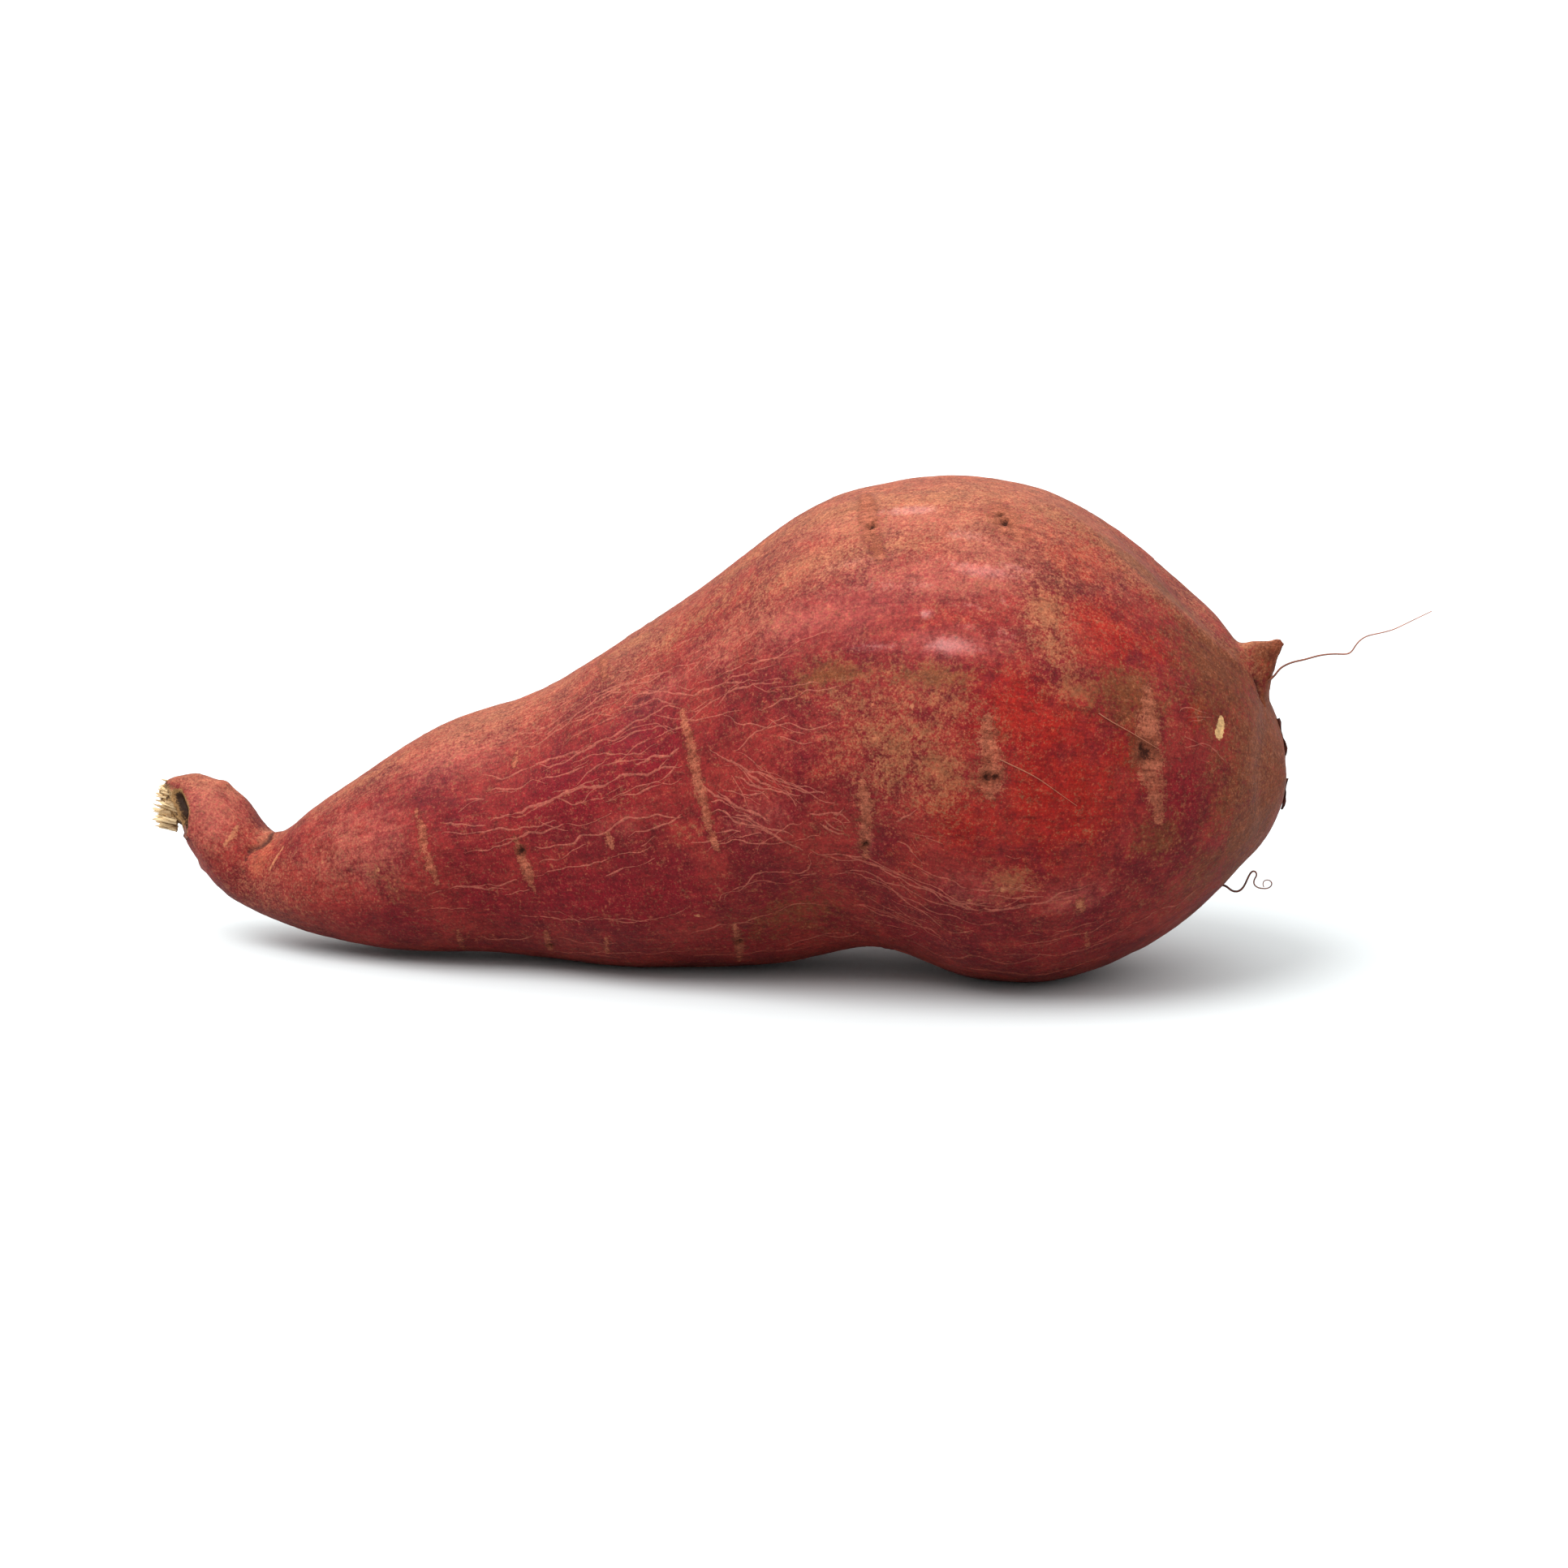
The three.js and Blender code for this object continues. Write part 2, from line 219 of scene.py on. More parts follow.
class Skin:
    """The skin's vertices, with each one's place along the root and its turn round it."""

    def __init__(self, mesh):
        self.mesh = mesh
        count = len(mesh.vertices)
        self.co = np.empty(count * 3)
        mesh.vertices.foreach_get("co", self.co)
        self.co = self.co.reshape(-1, 3)
        self.normal = np.empty(count * 3)
        mesh.vertex_normals.foreach_get("vector", self.normal)
        self.normal = self.normal.reshape(-1, 3)
        self.settle()
        self._lay_along_growth_line()

    def settle(self):
        """Takes up the vertices' places as they are now."""
        faces = [tuple(p.vertices) for p in self.mesh.polygons]
        self.tree = BVHTree.FromPolygons([tuple(c) for c in self.co], faces)
        self.mm = (self.co - np.array(ROOT_START)) / MM

    def _lay_along_growth_line(self):
        """Finds how far along the skin each vertex lies, and its turn round the growth line.

        The turn is nothing on top and a quarter turn at the front.
        """
        line = np.array(GROWTH_LINE, float)
        steps = np.concatenate([[0], np.cumsum(np.linalg.norm(np.diff(line, axis=0), axis=1))])
        places = np.linspace(0, steps[-1], GROWTH_PLACES)
        fine = np.stack([np.interp(places, steps, line[:, i]) for i in range(3)], 1)
        fine = evened(fine, GROWTH_EVENED)
        ahead = np.gradient(fine, axis=0)
        ahead /= np.linalg.norm(ahead, axis=1)[:, None]
        nearest = np.empty(len(self.mm), int)
        for start in range(0, len(self.mm), VERTICES_AT_A_TIME):
            part = slice(start, start + VERTICES_AT_A_TIME)
            nearest[part] = ((self.mm[part][:, None, :] - fine[None]) ** 2).sum(2).argmin(1)
        off = self.mm - fine[nearest]
        up = np.array([0.0, 0.0, 1.0]) - ahead * ahead[:, 2:3]
        up /= np.linalg.norm(up, axis=1)[:, None]
        front = np.cross(ahead, up)
        self.turn = np.arctan2((off * front[nearest]).sum(1), (off * up[nearest]).sum(1))
        self.radius = np.linalg.norm(off, axis=1)
        girth = np.full(len(fine), np.nan)
        for i in range(len(fine)):
            if (nearest == i).any():
                girth[i] = self.radius[nearest == i].mean()
        known = ~np.isnan(girth)
        girth = np.interp(np.arange(len(fine)), np.nonzero(known)[0], girth[known])
        along = np.concatenate([[0], np.cumsum(np.hypot(np.diff(places), np.diff(girth)))])
        beyond = np.clip((off * ahead[nearest]).sum(1), -ENDS_REACH, ENDS_REACH)
        self.along = along[nearest] + beyond
        self.line, self.line_up, self.line_front = fine, up, front

    def flow(self):
        """Coordinates in which the skin lies straight, for patterns that follow the growth."""
        round_it = MEAN_GIRTH_RADIUS * np.cos(self.turn), MEAN_GIRTH_RADIUS * np.sin(self.turn)
        return np.stack([self.along, *round_it], 1)

    def seen_at(self, px, py):
        """The vertex that a pixel of the photo shows."""
        start, towards = photo_ray(px, py)
        hit, _, _, _ = self.tree.ray_cast(start, towards)
        if hit is None:
            hit, _, _, _ = self.tree.find_nearest(start + towards * CAMERA_DISTANCE)
        return self.nearest(hit)

    def turned_at(self, x, turn):
        """The vertex at a distance along X and a turn in degrees."""
        i = int(np.abs(self.line[:, 0] - x).argmin())
        angle = math.radians(turn)
        out = self.line_up[i] * math.cos(angle) + self.line_front[i] * math.sin(angle)
        hit, _, _, _ = self.tree.ray_cast(at(*self.line[i]), Vector(out))
        return self.nearest(hit)

    def nearest(self, point):
        """The vertex nearest to a point."""
        return int(((self.co - np.array(point)) ** 2).sum(1).argmin())

    def place(self, spot):
        """A spot as a vertex: a pixel of the photo, or ("side", x, turn) on the other sides."""
        return self.turned_at(*spot[1:]) if spot[0] == "side" else self.seen_at(*spot)

    def line_on(self, spots, step=LINE_STEP):
        """A line over the skin through some spots, as points in millimetres."""
        corners = self.mm[[self.place(spot) for spot in spots]]
        pieces = [corners[:1]]
        for a, b in zip(corners, corners[1:]):
            count = max(2, int(np.linalg.norm(b - a) / step))
            pieces.append(a + (b - a) * np.linspace(0, 1, count)[1:, None])
        return np.concatenate(pieces)

    def patch(self, spot, reach):
        """A soft patch round a spot, with its reach along the root and round it in millimetres."""
        i = self.place(spot)
        round_it = (self.turn - self.turn[i] + math.pi) % (2 * math.pi) - math.pi
        along = (self.along - self.along[i]) / reach[0]
        return falloff(np.hypot(along, round_it * self.radius / reach[1]))

    def stroke(self, spots, half_width, taper=0.5):
        """How deep inside a stroke each vertex lies: 1 on its line, 0 at its edge, down to -1."""
        line = self.line_on(spots)
        share = np.linspace(0, 1, len(line))
        widths = half_width * (1 - taper + taper * np.sin(math.pi * share))
        margin = STROKE_MARGIN * half_width
        inside = (self.mm > line.min(0) - margin) & (self.mm < line.max(0) + margin)
        near = np.nonzero(inside.all(1))[0]
        depth = np.full(len(self.mm), -1.0)
        gaps = np.linalg.norm(self.mm[near][:, None, :] - line[None], axis=2) / widths[None]
        depth[near] = np.maximum(-1, 1 - gaps.min(1))
        return depth

    def ripple(self, size, seed, octaves=3, stretch=None):
        """Smooth noise over the skin, about -1 to 1. A stretch draws it out along the growth."""
        if stretch is None:
            coordinates = self.mm / size
        else:
            coordinates = self.flow() / np.array([size * stretch, size, size])
        coordinates = coordinates + seed * SEEDS_APART
        made = [noise.fractal(Vector(c), RIPPLE_FADE, RIPPLE_FINER, octaves) for c in coordinates]
        return np.array(made)

    def write(self, name, values):
        """Keeps values on the vertices, for the materials to read."""
        kept = self.mesh.attributes.new(name, "FLOAT", "POINT")
        kept.data.foreach_set("value", values.astype(np.float32))


def photo_ray(px, py):
    """Where a pixel of the photo looks from, and towards."""
    ahead = Vector((0, math.cos(CAMERA_ELEVATION), -math.sin(CAMERA_ELEVATION)))
    up = Vector((0, math.sin(CAMERA_ELEVATION), math.cos(CAMERA_ELEVATION)))
    right = Vector((1, 0, 0))
    middle = PHOTO_PIXELS / 2
    towards = ahead * CAMERA_DISTANCE + right * ((px - middle) * PIXEL_SIZE)
    towards += up * ((middle - py) * PIXEL_SIZE)
    return CAMERA_AIM - ahead * CAMERA_DISTANCE, towards.normalized()


# Marks of the skin. A spot is a pixel of the photo, or ("side", x, turn) on a side that it doesn't
# show. Scars are lines across the root where rootlets grew, with their half width in millimetres.
SCARS = [
    ([(514, 998), (519, 1020), (524, 1045), (530, 1068), (537, 1090)], 0.8),
    ([(634, 1030), (641, 1048), (648, 1070), (657, 1098)], 0.9),
    ([(840, 872), (848, 905), (855, 935), (862, 970), (872, 1010), (885, 1048)], 1.0),
    ([(1064, 960), (1070, 990), (1067, 1020), (1068, 1054)], 1.2),
    ([(1214, 885), (1216, 905), (1219, 925), (1219, 948), (1222, 980)], 1.6),
    ([(1218, 938), (1220, 955), (1223, 974)], 2.3),
    ([(1412, 915), (1416, 935), (1418, 960)], 2.6),
    ([(1414, 848), (1413, 890), (1417, 935), (1419, 975), (1430, 1012)], 2.0),
    ([(1066, 610), (1071, 640), (1076, 662), (1085, 688)], 1.5),
    ([(1226, 622), (1238, 642), (1254, 660)], 2.2),
    ([(739, 804), (746, 820), (744, 836)], 0.8),
    ([(907, 1140), (911, 1162), (909, 1184)], 0.8),
    ([(674, 1148), (680, 1172)], 0.65),
    ([(748, 1155), (750, 1175)], 0.5),
    ([(748, 1030), (753, 1046)], 0.75),
    ([(637, 926), (634, 944)], 0.6),
    ([(562, 1146), (572, 1170)], 0.6),
    ([(1328, 1108), (1334, 1122)], 0.8),
    ([(1338, 1150), (1342, 1168)], 0.5),
    ([("side", 42, 205), ("side", 42.5, 225), ("side", 43, 240)], 0.8),
    ([("side", 60, 290), ("side", 61, 310), ("side", 61.5, 325)], 0.8),
    ([("side", 74, 225), ("side", 75, 245), ("side", 76, 262)], 1.0),
    ([("side", 93, 275), ("side", 94, 292), ("side", 95, 305)], 1.2),
    ([("side", 106, 215), ("side", 108, 230), ("side", 109, 246)], 1.0),
    ([("side", 122, 262), ("side", 123, 274), ("side", 123.5, 286)], 1.8),
    ([("side", 138, 318), ("side", 139, 328), ("side", 139, 340)], 1.3),
    ([("side", 141, 222), ("side", 142, 234), ("side", 143, 247)], 1.4),
    ([("side", 155, 268), ("side", 156, 282), ("side", 156, 296)], 1.5),
    ([("side", 70, 178), ("side", 71, 192)], 0.8),
    ([("side", 120, 168), ("side", 121, 182), ("side", 121, 196)], 1.0),
    ([("side", 47, 335), ("side", 48, 352)], 0.7),
    ([("side", 86, 338), ("side", 87, 352)], 0.8),
]

# Round pits and pale dots, with their radius in millimetres.
PITS = [
    ((642, 1050), 0.9), ((1213, 957), 1.0), ((1225, 957), 0.8), ((1413, 930), 1.6),
    ((1409, 918), 0.9), ((1240, 645), 0.85), ((1232, 634), 0.6), ((1067, 1040), 0.7),
    ((1074, 648), 0.8), ((911, 1160), 0.8), ((679, 1166), 0.7), (("side", 75, 244), 1.0),
    (("side", 94, 292), 1.1), (("side", 123, 275), 1.5), (("side", 142, 234), 1.2),
    (("side", 156, 281), 1.1), (("side", 43, 226), 0.9), (("side", 108, 231), 0.9),
    (("side", 139, 329), 1.0),
]
PALE_DOTS = [
    ((463, 1070), 0.5), ((857, 1128), 0.55), ((1193, 1110), 0.5), ((585, 915), 0.4),
    ((1238, 1095), 0.7), ((1330, 1115), 0.8), ((1122, 870), 0.6), ((1545, 752), 0.3),
    ((1468, 718), 0.4), (("side", 84, 250), 0.6), (("side", 133, 300), 0.7),
    (("side", 112, 262), 0.5), (("side", 58, 240), 0.5), (("side", 148, 250), 0.6),
    (("side", 100, 320), 0.5),
]

# Soft patches of colour: a spot, the reach along and round the root in millimetres, and a strength.
# Crimson patches: the skin's own crimson, and low on the underside, as under the waist, also
# painted shade.
CRIMSON = [
    ((700, 1100), (14, 7), 1), ((770, 925), (13, 7), 1), ((810, 1115), (13, 7), 1),
    ((600, 1110), (10, 6), 0.9), ((700, 970), (18, 8), 1), ((800, 930), (12, 8), 0.9),
    ((560, 1010), (10, 8), 0.6), ((1459, 981), (5, 8), 1), ((1205, 1140), (5, 4), 0.7),
    ((1320, 1160), (4, 3), 0.8), ((760, 960), (10, 5), 0.7), ((1190, 870), (5, 4), 0.6),
    ((1005, 1010), (8, 4), 0.5), ((620, 1050), (14, 6), 0.7), ((440, 1135), (10, 5), 0.8),
    ((1330, 1165), (10, 6), 0.6), ((500, 1135), (10, 6), 0.8), ((960, 1110), (14, 6), 0.7),
    ((1120, 1150), (9, 6), 0.8), ((520, 1050), (8, 5), 0.4), ((900, 1160), (12, 6), 0.8),
    ((350, 1110), (8, 5), 0.7), (("side", 66, 225), (16, 8), 0.9),
    (("side", 132, 235), (12, 10), 0.7), (("side", 90, 205), (14, 8), 0.8),
    (("side", 60, 180), (30, 9), 0.9), (("side", 120, 180), (20, 12), 0.9),
]
SCARLET = [
    ((1250, 880), (9, 9), 1), ((1310, 985), (13, 13), 1), ((1300, 900), (10, 8), 0.9),
    ((1205, 1015), (9, 8), 0.8), ((1357, 775), (9, 7), 1), ((1160, 760), (10, 4), 0.5),
    ((1330, 690), (10, 6), 0.8), ((1470, 880), (3, 4), 0.8), ((1120, 1050), (8, 6), 0.4),
    ((1420, 800), (7, 5), 0.8), ((880, 1080), (8, 5), 0.3), ((1385, 925), (4, 6), 0.8),
    ((1270, 1055), (10, 5), 0.6), ((1000, 940), (12, 5), 0.5), ((660, 1010), (14, 6), 0.3),
    (("side", 128, 275), (14, 13), 0.9), (("side", 110, 300), (12, 8), 0.5),
    (("side", 147, 300), (10, 8), 0.8),
]
OLIVE = [
    ((1110, 915), (9, 10), 0.85), ((1150, 862), (8, 4), 0.8), ((1291, 750), (5, 6), 1),
    ((1300, 790), (5, 5), 0.8), ((1150, 950), (8, 7), 0.9), ((1020, 832), (8, 3), 0.9),
    ((1000, 690), (14, 6), 0.6), ((1150, 612), (14, 5), 1), ((860, 760), (16, 4), 0.8),
    ((1244, 1090), (4, 4), 0.8), ((1190, 965), (5, 5), 0.7), ((1330, 1040), (9, 4), 0.4),
    ((1237, 640), (3, 3.5), 0.9), ((450, 960), (14, 3), 0.7), ((660, 860), (14, 3), 0.6),
    ((1146, 838), (8, 3.5), 0.9), ((765, 800), (8, 3), 0.9), ((1074, 645), (3, 6), 0.8),
    ((1330, 850), (8, 4), 0.9), ((1400, 860), (8, 5), 0.9), ((1080, 880), (8, 4), 0.5),
    ((960, 660), (14, 5), 0.9), ((1420, 1040), (8, 5), 0.5), ((1230, 905), (4, 2.5), 0.7),
    ((850, 1030), (7, 3), 0.4), (("side", 118, 250), (10, 8), 0.8),
    (("side", 96, 290), (12, 7), 0.7), (("side", 140, 270), (7, 9), 0.6),
    (("side", 58, 300), (14, 6), 0.6), (("side", 80, 340), (18, 5), 0.5),
    (("side", 120, 350), (16, 8), 0.5),
]
BROWN = [
    ((1540, 920), (12, 20), 1), ((1500, 822), (10, 12), 1), ((1440, 735), (10, 5), 1),
    ((1560, 850), (6, 8), 1), ((1545, 1010), (9, 10), 1), ((1500, 850), (4, 4), 0.8),
    ((1480, 1080), (10, 7), 0.7), ((1390, 862), (7, 5), 0.9), ((1023, 830), (4, 1.6), 1),
    ((1146, 832), (5, 1.8), 0.9), ((1380, 680), (9, 4), 0.9), ((1405, 920), (3, 4), 0.9),
    ((980, 1125), (12, 6), 0.6), ((1515, 990), (6, 6), 0.8), ((1430, 1030), (5, 4), 0.7),
    ((1110, 920), (6, 6), 0.4), ((1310, 640), (8, 3), 0.7), ((1470, 775), (5, 4), 0.8),
    ((1530, 1060), (6, 6), 0.8), ((474, 1082), (2.6, 3.4), 0.35), (("side", 171, 270), (8, 30), 1),
    (("side", 158, 250), (8, 9), 0.7), (("side", 160, 330), (9, 8), 0.8),
    (("side", 102, 240), (6, 3), 0.6), (("side", 166, 180), (8, 14), 0.7),
]
# Rose patches: the skin's own rose, and on the shining places of the bulb's top also a painted pink
# highlight.
ROSE = [
    ((560, 930), (14, 6), 0.75), ((660, 900), (13, 5), 0.4), ((450, 1040), (9, 9), 0.8),
    ((900, 790), (14, 5), 0.6), ((1000, 760), (12, 6), 0.8), ((820, 850), (10, 4), 0.6),
    ((1170, 705), (12, 6), 1), ((1000, 930), (10, 6), 0.4), ((260, 1000), (6, 8), 1),
    ((400, 1060), (8, 8), 0.5), ((1130, 640), (10, 5), 0.9), ((1160, 790), (9, 3), 0.9),
    ((1320, 1108), (7, 4), 0.7), ((1066, 1034), (2.5, 3), 1), ((1200, 1095), (9, 5), 0.55),
    ((1050, 740), (12, 5), 0.7), ((1215, 680), (8, 5), 0.8), ((760, 1020), (8, 3), 0.5),
    ((940, 1010), (8, 4), 0.6), (("side", 50, 280), (14, 9), 0.8),
    (("side", 88, 310), (14, 7), 0.7), (("side", 108, 275), (9, 6), 0.5),
]
DUSTY = [
    ((270, 1000), (9, 12), 0.6), ((330, 1095), (12, 10), 0.55), ((420, 1050), (10, 9), 0.5),
    ((1000, 690), (12, 8), 0.9), ((930, 760), (12, 8), 0.6), ((1100, 930), (12, 12), 0.45),
    ((1150, 620), (14, 6), 0.9), ((1545, 930), (9, 18), 0.35), ((1300, 770), (8, 8), 0.6),
    ((1150, 700), (14, 7), 0.4), ((1530, 810), (6, 6), 0.5), (("side", 20, 240), (14, 14), 0.6),
    (("side", 100, 330), (20, 10), 0.7), (("side", 120, 300), (14, 10), 0.4),
]
# Shining places: lower roughness and a coat, with a pale pink highlight painted on them.
POLISH_AND_PAINTED_GLINT = [
    ((1124, 629), (3, 1.6), 1), ((1213, 704), (4.5, 1.6), 1), ((1190, 696), (3.5, 1.2), 0.9),
    ((1172, 793), (4, 1.8), 1), ((1190, 660), (6, 1.6), 0.6), ((1230, 780), (4, 1.4), 0.6),
    ((1120, 720), (5, 1.4), 0.5), ((1060, 690), (5, 1.2), 0.5), ((1142, 757), (1.6, 0.9), 0.8),
    ((1078, 797), (2.4, 1.0), 0.8), ((1190, 745), (2.5, 0.8), 0.7), ((1150, 690), (2.5, 0.8), 0.7),
    ((1185, 770), (2.5, 0.7), 0.6), ((1255, 700), (3, 1.0), 0.8), ((1240, 742), (1.5, 0.8), 0.6),
    ((1205, 800), (2, 0.7), 0.7), (("side", 118, 320), (3, 1), 0.8),
    (("side", 128, 302), (3, 1), 0.8), (("side", 122, 335), (2.5, 1), 0.8),
]

# Raised veins: the lines that the photo shows, as pixels, and others on the sides that it doesn't.
# Each has a half width in millimetres and the number of finer veins that run beside it.
VEINS = [
    ([(633, 927), (662, 915), (690, 892), (712, 881), (735, 868), (756, 853), (788, 839),
      (832, 826)], 0.34, 3),
    ([(585, 957), (612, 951), (646, 946), (684, 938), (719, 925), (748, 911), (781, 898)], 0.3, 3),
    ([(662, 955), (700, 935), (735, 918), (762, 898), (778, 888), (792, 877), (816, 875),
      (843, 876)], 0.34, 3),
    ([(600, 1013), (622, 1004), (646, 995), (668, 993), (690, 984), (715, 979), (741, 970),
      (764, 957), (790, 951), (816, 952), (845, 945)], 0.42, 3),
    ([(652, 1046), (684, 1043), (712, 1035), (742, 1028), (752, 1020), (776, 1013), (802, 1008),
      (822, 1006), (848, 1001)], 0.32, 2),
    ([(772, 1032), (792, 1020), (816, 1011), (832, 1008), (846, 1002)], 0.26, 1),
    ([(705, 972), (718, 958), (736, 950), (752, 934)], 0.26, 2),
    ([(776, 946), (792, 936), (815, 929), (842, 921)], 0.34, 2),
    ([(700, 874), (726, 860), (752, 850), (782, 838), (812, 828), (845, 820), (872, 808)], 0.26, 3),
    ([(745, 882), (775, 866), (798, 853), (825, 852), (848, 856), (880, 846), (905, 838),
      (940, 836)], 0.28, 3),
    ([(843, 876), (868, 876), (884, 862), (905, 850), (934, 842), (968, 845)], 0.26, 2),
    ([(870, 1000), (893, 1004), (920, 1013), (948, 1026), (972, 1040), (996, 1052)], 0.42, 3),
    ([(862, 966), (884, 976), (905, 990), (930, 1001), (955, 1013)], 0.42, 3),
    ([(870, 922), (900, 930), (930, 948), (955, 958), (974, 972), (1000, 978),
      (1032, 992)], 0.28, 4),
    ([(888, 876), (904, 892), (930, 896), (962, 896), (1003, 890), (1040, 888)], 0.24, 2),
    ([(852, 846), (880, 834), (910, 822), (945, 812), (985, 790), (1030, 776)], 0.22, 3),
    ([(930, 878), (952, 864), (972, 856), (1002, 852), (1040, 848)], 0.24, 2),
    ([(990, 1004), (1008, 1001), (1030, 1001), (1036, 1014), (1050, 1020)], 0.3, 1),
    ([(1003, 1009), (1016, 1019), (1044, 1021)], 0.3, 1),
    ([(996, 1046), (1028, 1054), (1060, 1058), (1092, 1074), (1124, 1090), (1152, 1103),
      (1180, 1116), (1214, 1122), (1250, 1118), (1290, 1109), (1322, 1098), (1352, 1088)], 0.34, 5),
    ([(1056, 1076), (1086, 1090), (1118, 1110), (1150, 1132), (1176, 1144), (1204, 1148)], 0.26, 4),
    ([(1046, 1112), (1078, 1122), (1108, 1132), (1134, 1142), (1166, 1156)], 0.24, 3),
    ([(1100, 1032), (1122, 1048), (1146, 1066)], 0.24, 1),
    ([(1100, 1014), (1118, 1006), (1136, 994)], 0.26, 0),
    ([(1068, 1062), (1098, 1068), (1122, 1082), (1148, 1094), (1166, 1108)], 0.3, 2),
    ([(540, 1016), (556, 1013), (580, 1015), (604, 1010)], 0.3, 1),
    ([(556, 930), (590, 916), (622, 908), (660, 896)], 0.2, 2),
    ([(900, 956), (930, 966), (962, 976), (990, 990)], 0.3, 3),
    ([(1210, 1100), (1250, 1106), (1290, 1102)], 0.24, 2),
    ([(1250, 1166), (1290, 1160), (1335, 1150), (1380, 1130)], 0.2, 2),
    ([(1450, 880), (1470, 878), (1490, 884)], 0.2, 1),
    ([(1456, 916), (1480, 920), (1502, 930), (1520, 944)], 0.2, 2),
    ([("side", 44, 282), ("side", 58, 290), ("side", 72, 285), ("side", 88, 296)], 0.34, 4),
    ([("side", 52, 262), ("side", 66, 268), ("side", 82, 262), ("side", 98, 270),
      ("side", 112, 262)], 0.38, 4),
    ([("side", 60, 240), ("side", 76, 244), ("side", 92, 236), ("side", 108, 226)], 0.32, 4),
    ([("side", 84, 282), ("side", 98, 276), ("side", 112, 282), ("side", 124, 290)], 0.26, 3),
    ([("side", 96, 246), ("side", 110, 238), ("side", 124, 236), ("side", 140, 240)], 0.34, 5),
    ([("side", 70, 312), ("side", 86, 318), ("side", 100, 312)], 0.24, 3),
    ([("side", 56, 216), ("side", 74, 210), ("side", 92, 204), ("side", 110, 200)], 0.26, 4),
    ([("side", 50, 180), ("side", 70, 176), ("side", 90, 184), ("side", 112, 178)], 0.24, 4),
    ([("side", 60, 340), ("side", 80, 345), ("side", 98, 338)], 0.2, 3),
    ([("side", 118, 216), ("side", 132, 212), ("side", 148, 218)], 0.24, 3),
    ([("side", 112, 262), ("side", 126, 256), ("side", 142, 262), ("side", 154, 258)], 0.22, 3),
]

# The veins' steps, how many of them are evened out together, the fewest steps of a vein, and how a
# vein wanders off its line: how far, over what length, and the seed, longest first.
VEIN_STEP = 0.5
VEIN_EVENED = 9
VEIN_LEAST_STEPS = 6
VEIN_WANDERS = ((1.5, 9, 0), (0.9, 3.0, 7), (0.3, 1.1, 13))

# How a vein swells: its usual share of the half width, the least and most of it, and the swells,
# each with its size, length and seed.
VEIN_USUAL = 0.8
VEIN_LEAST = 0.12
VEIN_MOST = 1.25
VEIN_SWELLS = ((0.75, 2.4, 21), (0.5, 0.8, 31))

# The finer veins beside a guide: how far off it they lie and lean, in millimetres, their share of
# its half width, how many there are for each one asked for, where they start and how long they are,
# as shares of the guide, and how far apart their seeds lie.
VEINS_APART = 3.0
VEINS_TILT = 1.1
BESIDE_SHARES = (0.4, 0.85)
BESIDE_COUNT = 1.5
BESIDE_STARTS = (0, 0.6)
BESIDE_LENGTHS = (0.2, 0.6)
BESIDE_SEEDS = 10.7

# Fine veins at random all round: their number, where along the root they start, how many spots each
# one joins, how far apart along X, how far these stray in degrees, the half width, the seeds of the
# ways and of the swells, and the smooth front of the bulb that they leave free.
FINE_VEINS = 240
FINE_VEINS_ALONG = (42, 150)
FINE_VEINS_SPOTS = (2, 5)
FINE_VEINS_SPACING = 5
FINE_VEINS_STRAY = 4
FINE_VEINS_HALF_WIDTH = (0.14, 0.26)
FINE_WAY_SEED = 900
FINE_SWELL_SEED = 0.4
FREE_FROM = 104
FREE_TURNS = (20, 130)

# A vein's cross-section: each vertex's share of the half width and its rise in millimetres.
VEIN_PROFILE = ((-1, -0.05), (-0.5, 0.03), (0, 0.06), (0.5, 0.03), (1, -0.05))

# Single strokes, each with its spots, its half width in millimetres and how much its ends taper.
# The shoulder: a pale crest that runs from the top down to the spur, and the hollow above it.
SHOULDER_CREST = [(1299, 625), (1364, 680), (1415, 725), (1473, 772), (1520, 815)], 2.6, 0.5
SHOULDER_HOLLOW = [(1372, 650), (1420, 692), (1465, 740), (1505, 788)], 4.5, 0.6

# The stalk: the crease where it bends, a scar, loose skin and the dark hollow beside its wood.
STALK_CREASE = [(342, 1027), (333, 1033), (321, 1040), (309, 1049), (300, 1059)], 0.9, 0.7
STALK_SCAR = [(277, 1040), (284, 1030), (293, 1019)], 0.6, 0.6
STALK_PEEL = [(347, 1046), (340, 1060), (334, 1069)], 0.45, 0.4
STALK_HOLLOW = [(218, 980), (223, 1000), (226, 1020)], 1.55, 0.3

# The root end: a nick in the skin that shows the flesh, wider at its lower end, and the cleft
# beside the spur.
NICK = [(1506, 888), (1504, 897), (1503, 903)], 0.95, 0.3
NICK_LOWER_END = [(1504, 897), (1503, 903)], 1.2, 0.1
SPUR_CLEFT = [(1545, 832), (1551, 846), (1555, 860), (1557, 868)], 1.0, 0.7

# The torn skin at the stalk's bend, with its reach along and round the root.
STALK_TEAR = (322, 1058), (4.5, 4)

# Small knobs of the stalk and the neck: a spot, the reach and the rise in millimetres.
KNOBS = [
    (("side", 9.3, 0), 1.3, 0.7), (("side", 17.7, 8), 1.2, 0.9), (("side", 12.2, 168), 1.4, 0.9),
    (("side", 17, 165), 1.8, 0.4), ((474, 1082), 2.6, -0.45), ((215, 962), 1.2, 0.4),
    ((262, 985), 2.2, 0.3), ((250, 1040), 1.8, 0.25), ((330, 1010), 1.0, 0.35),
    (("side", 12, 250), 1.6, 0.5), (("side", 17, 290), 1.4, 0.5), (("side", 30, 225), 1.8, 0.4),
    (("side", 9, 200), 1.2, 0.4), (("side", 36, 150), 2.0, 0.3),
]

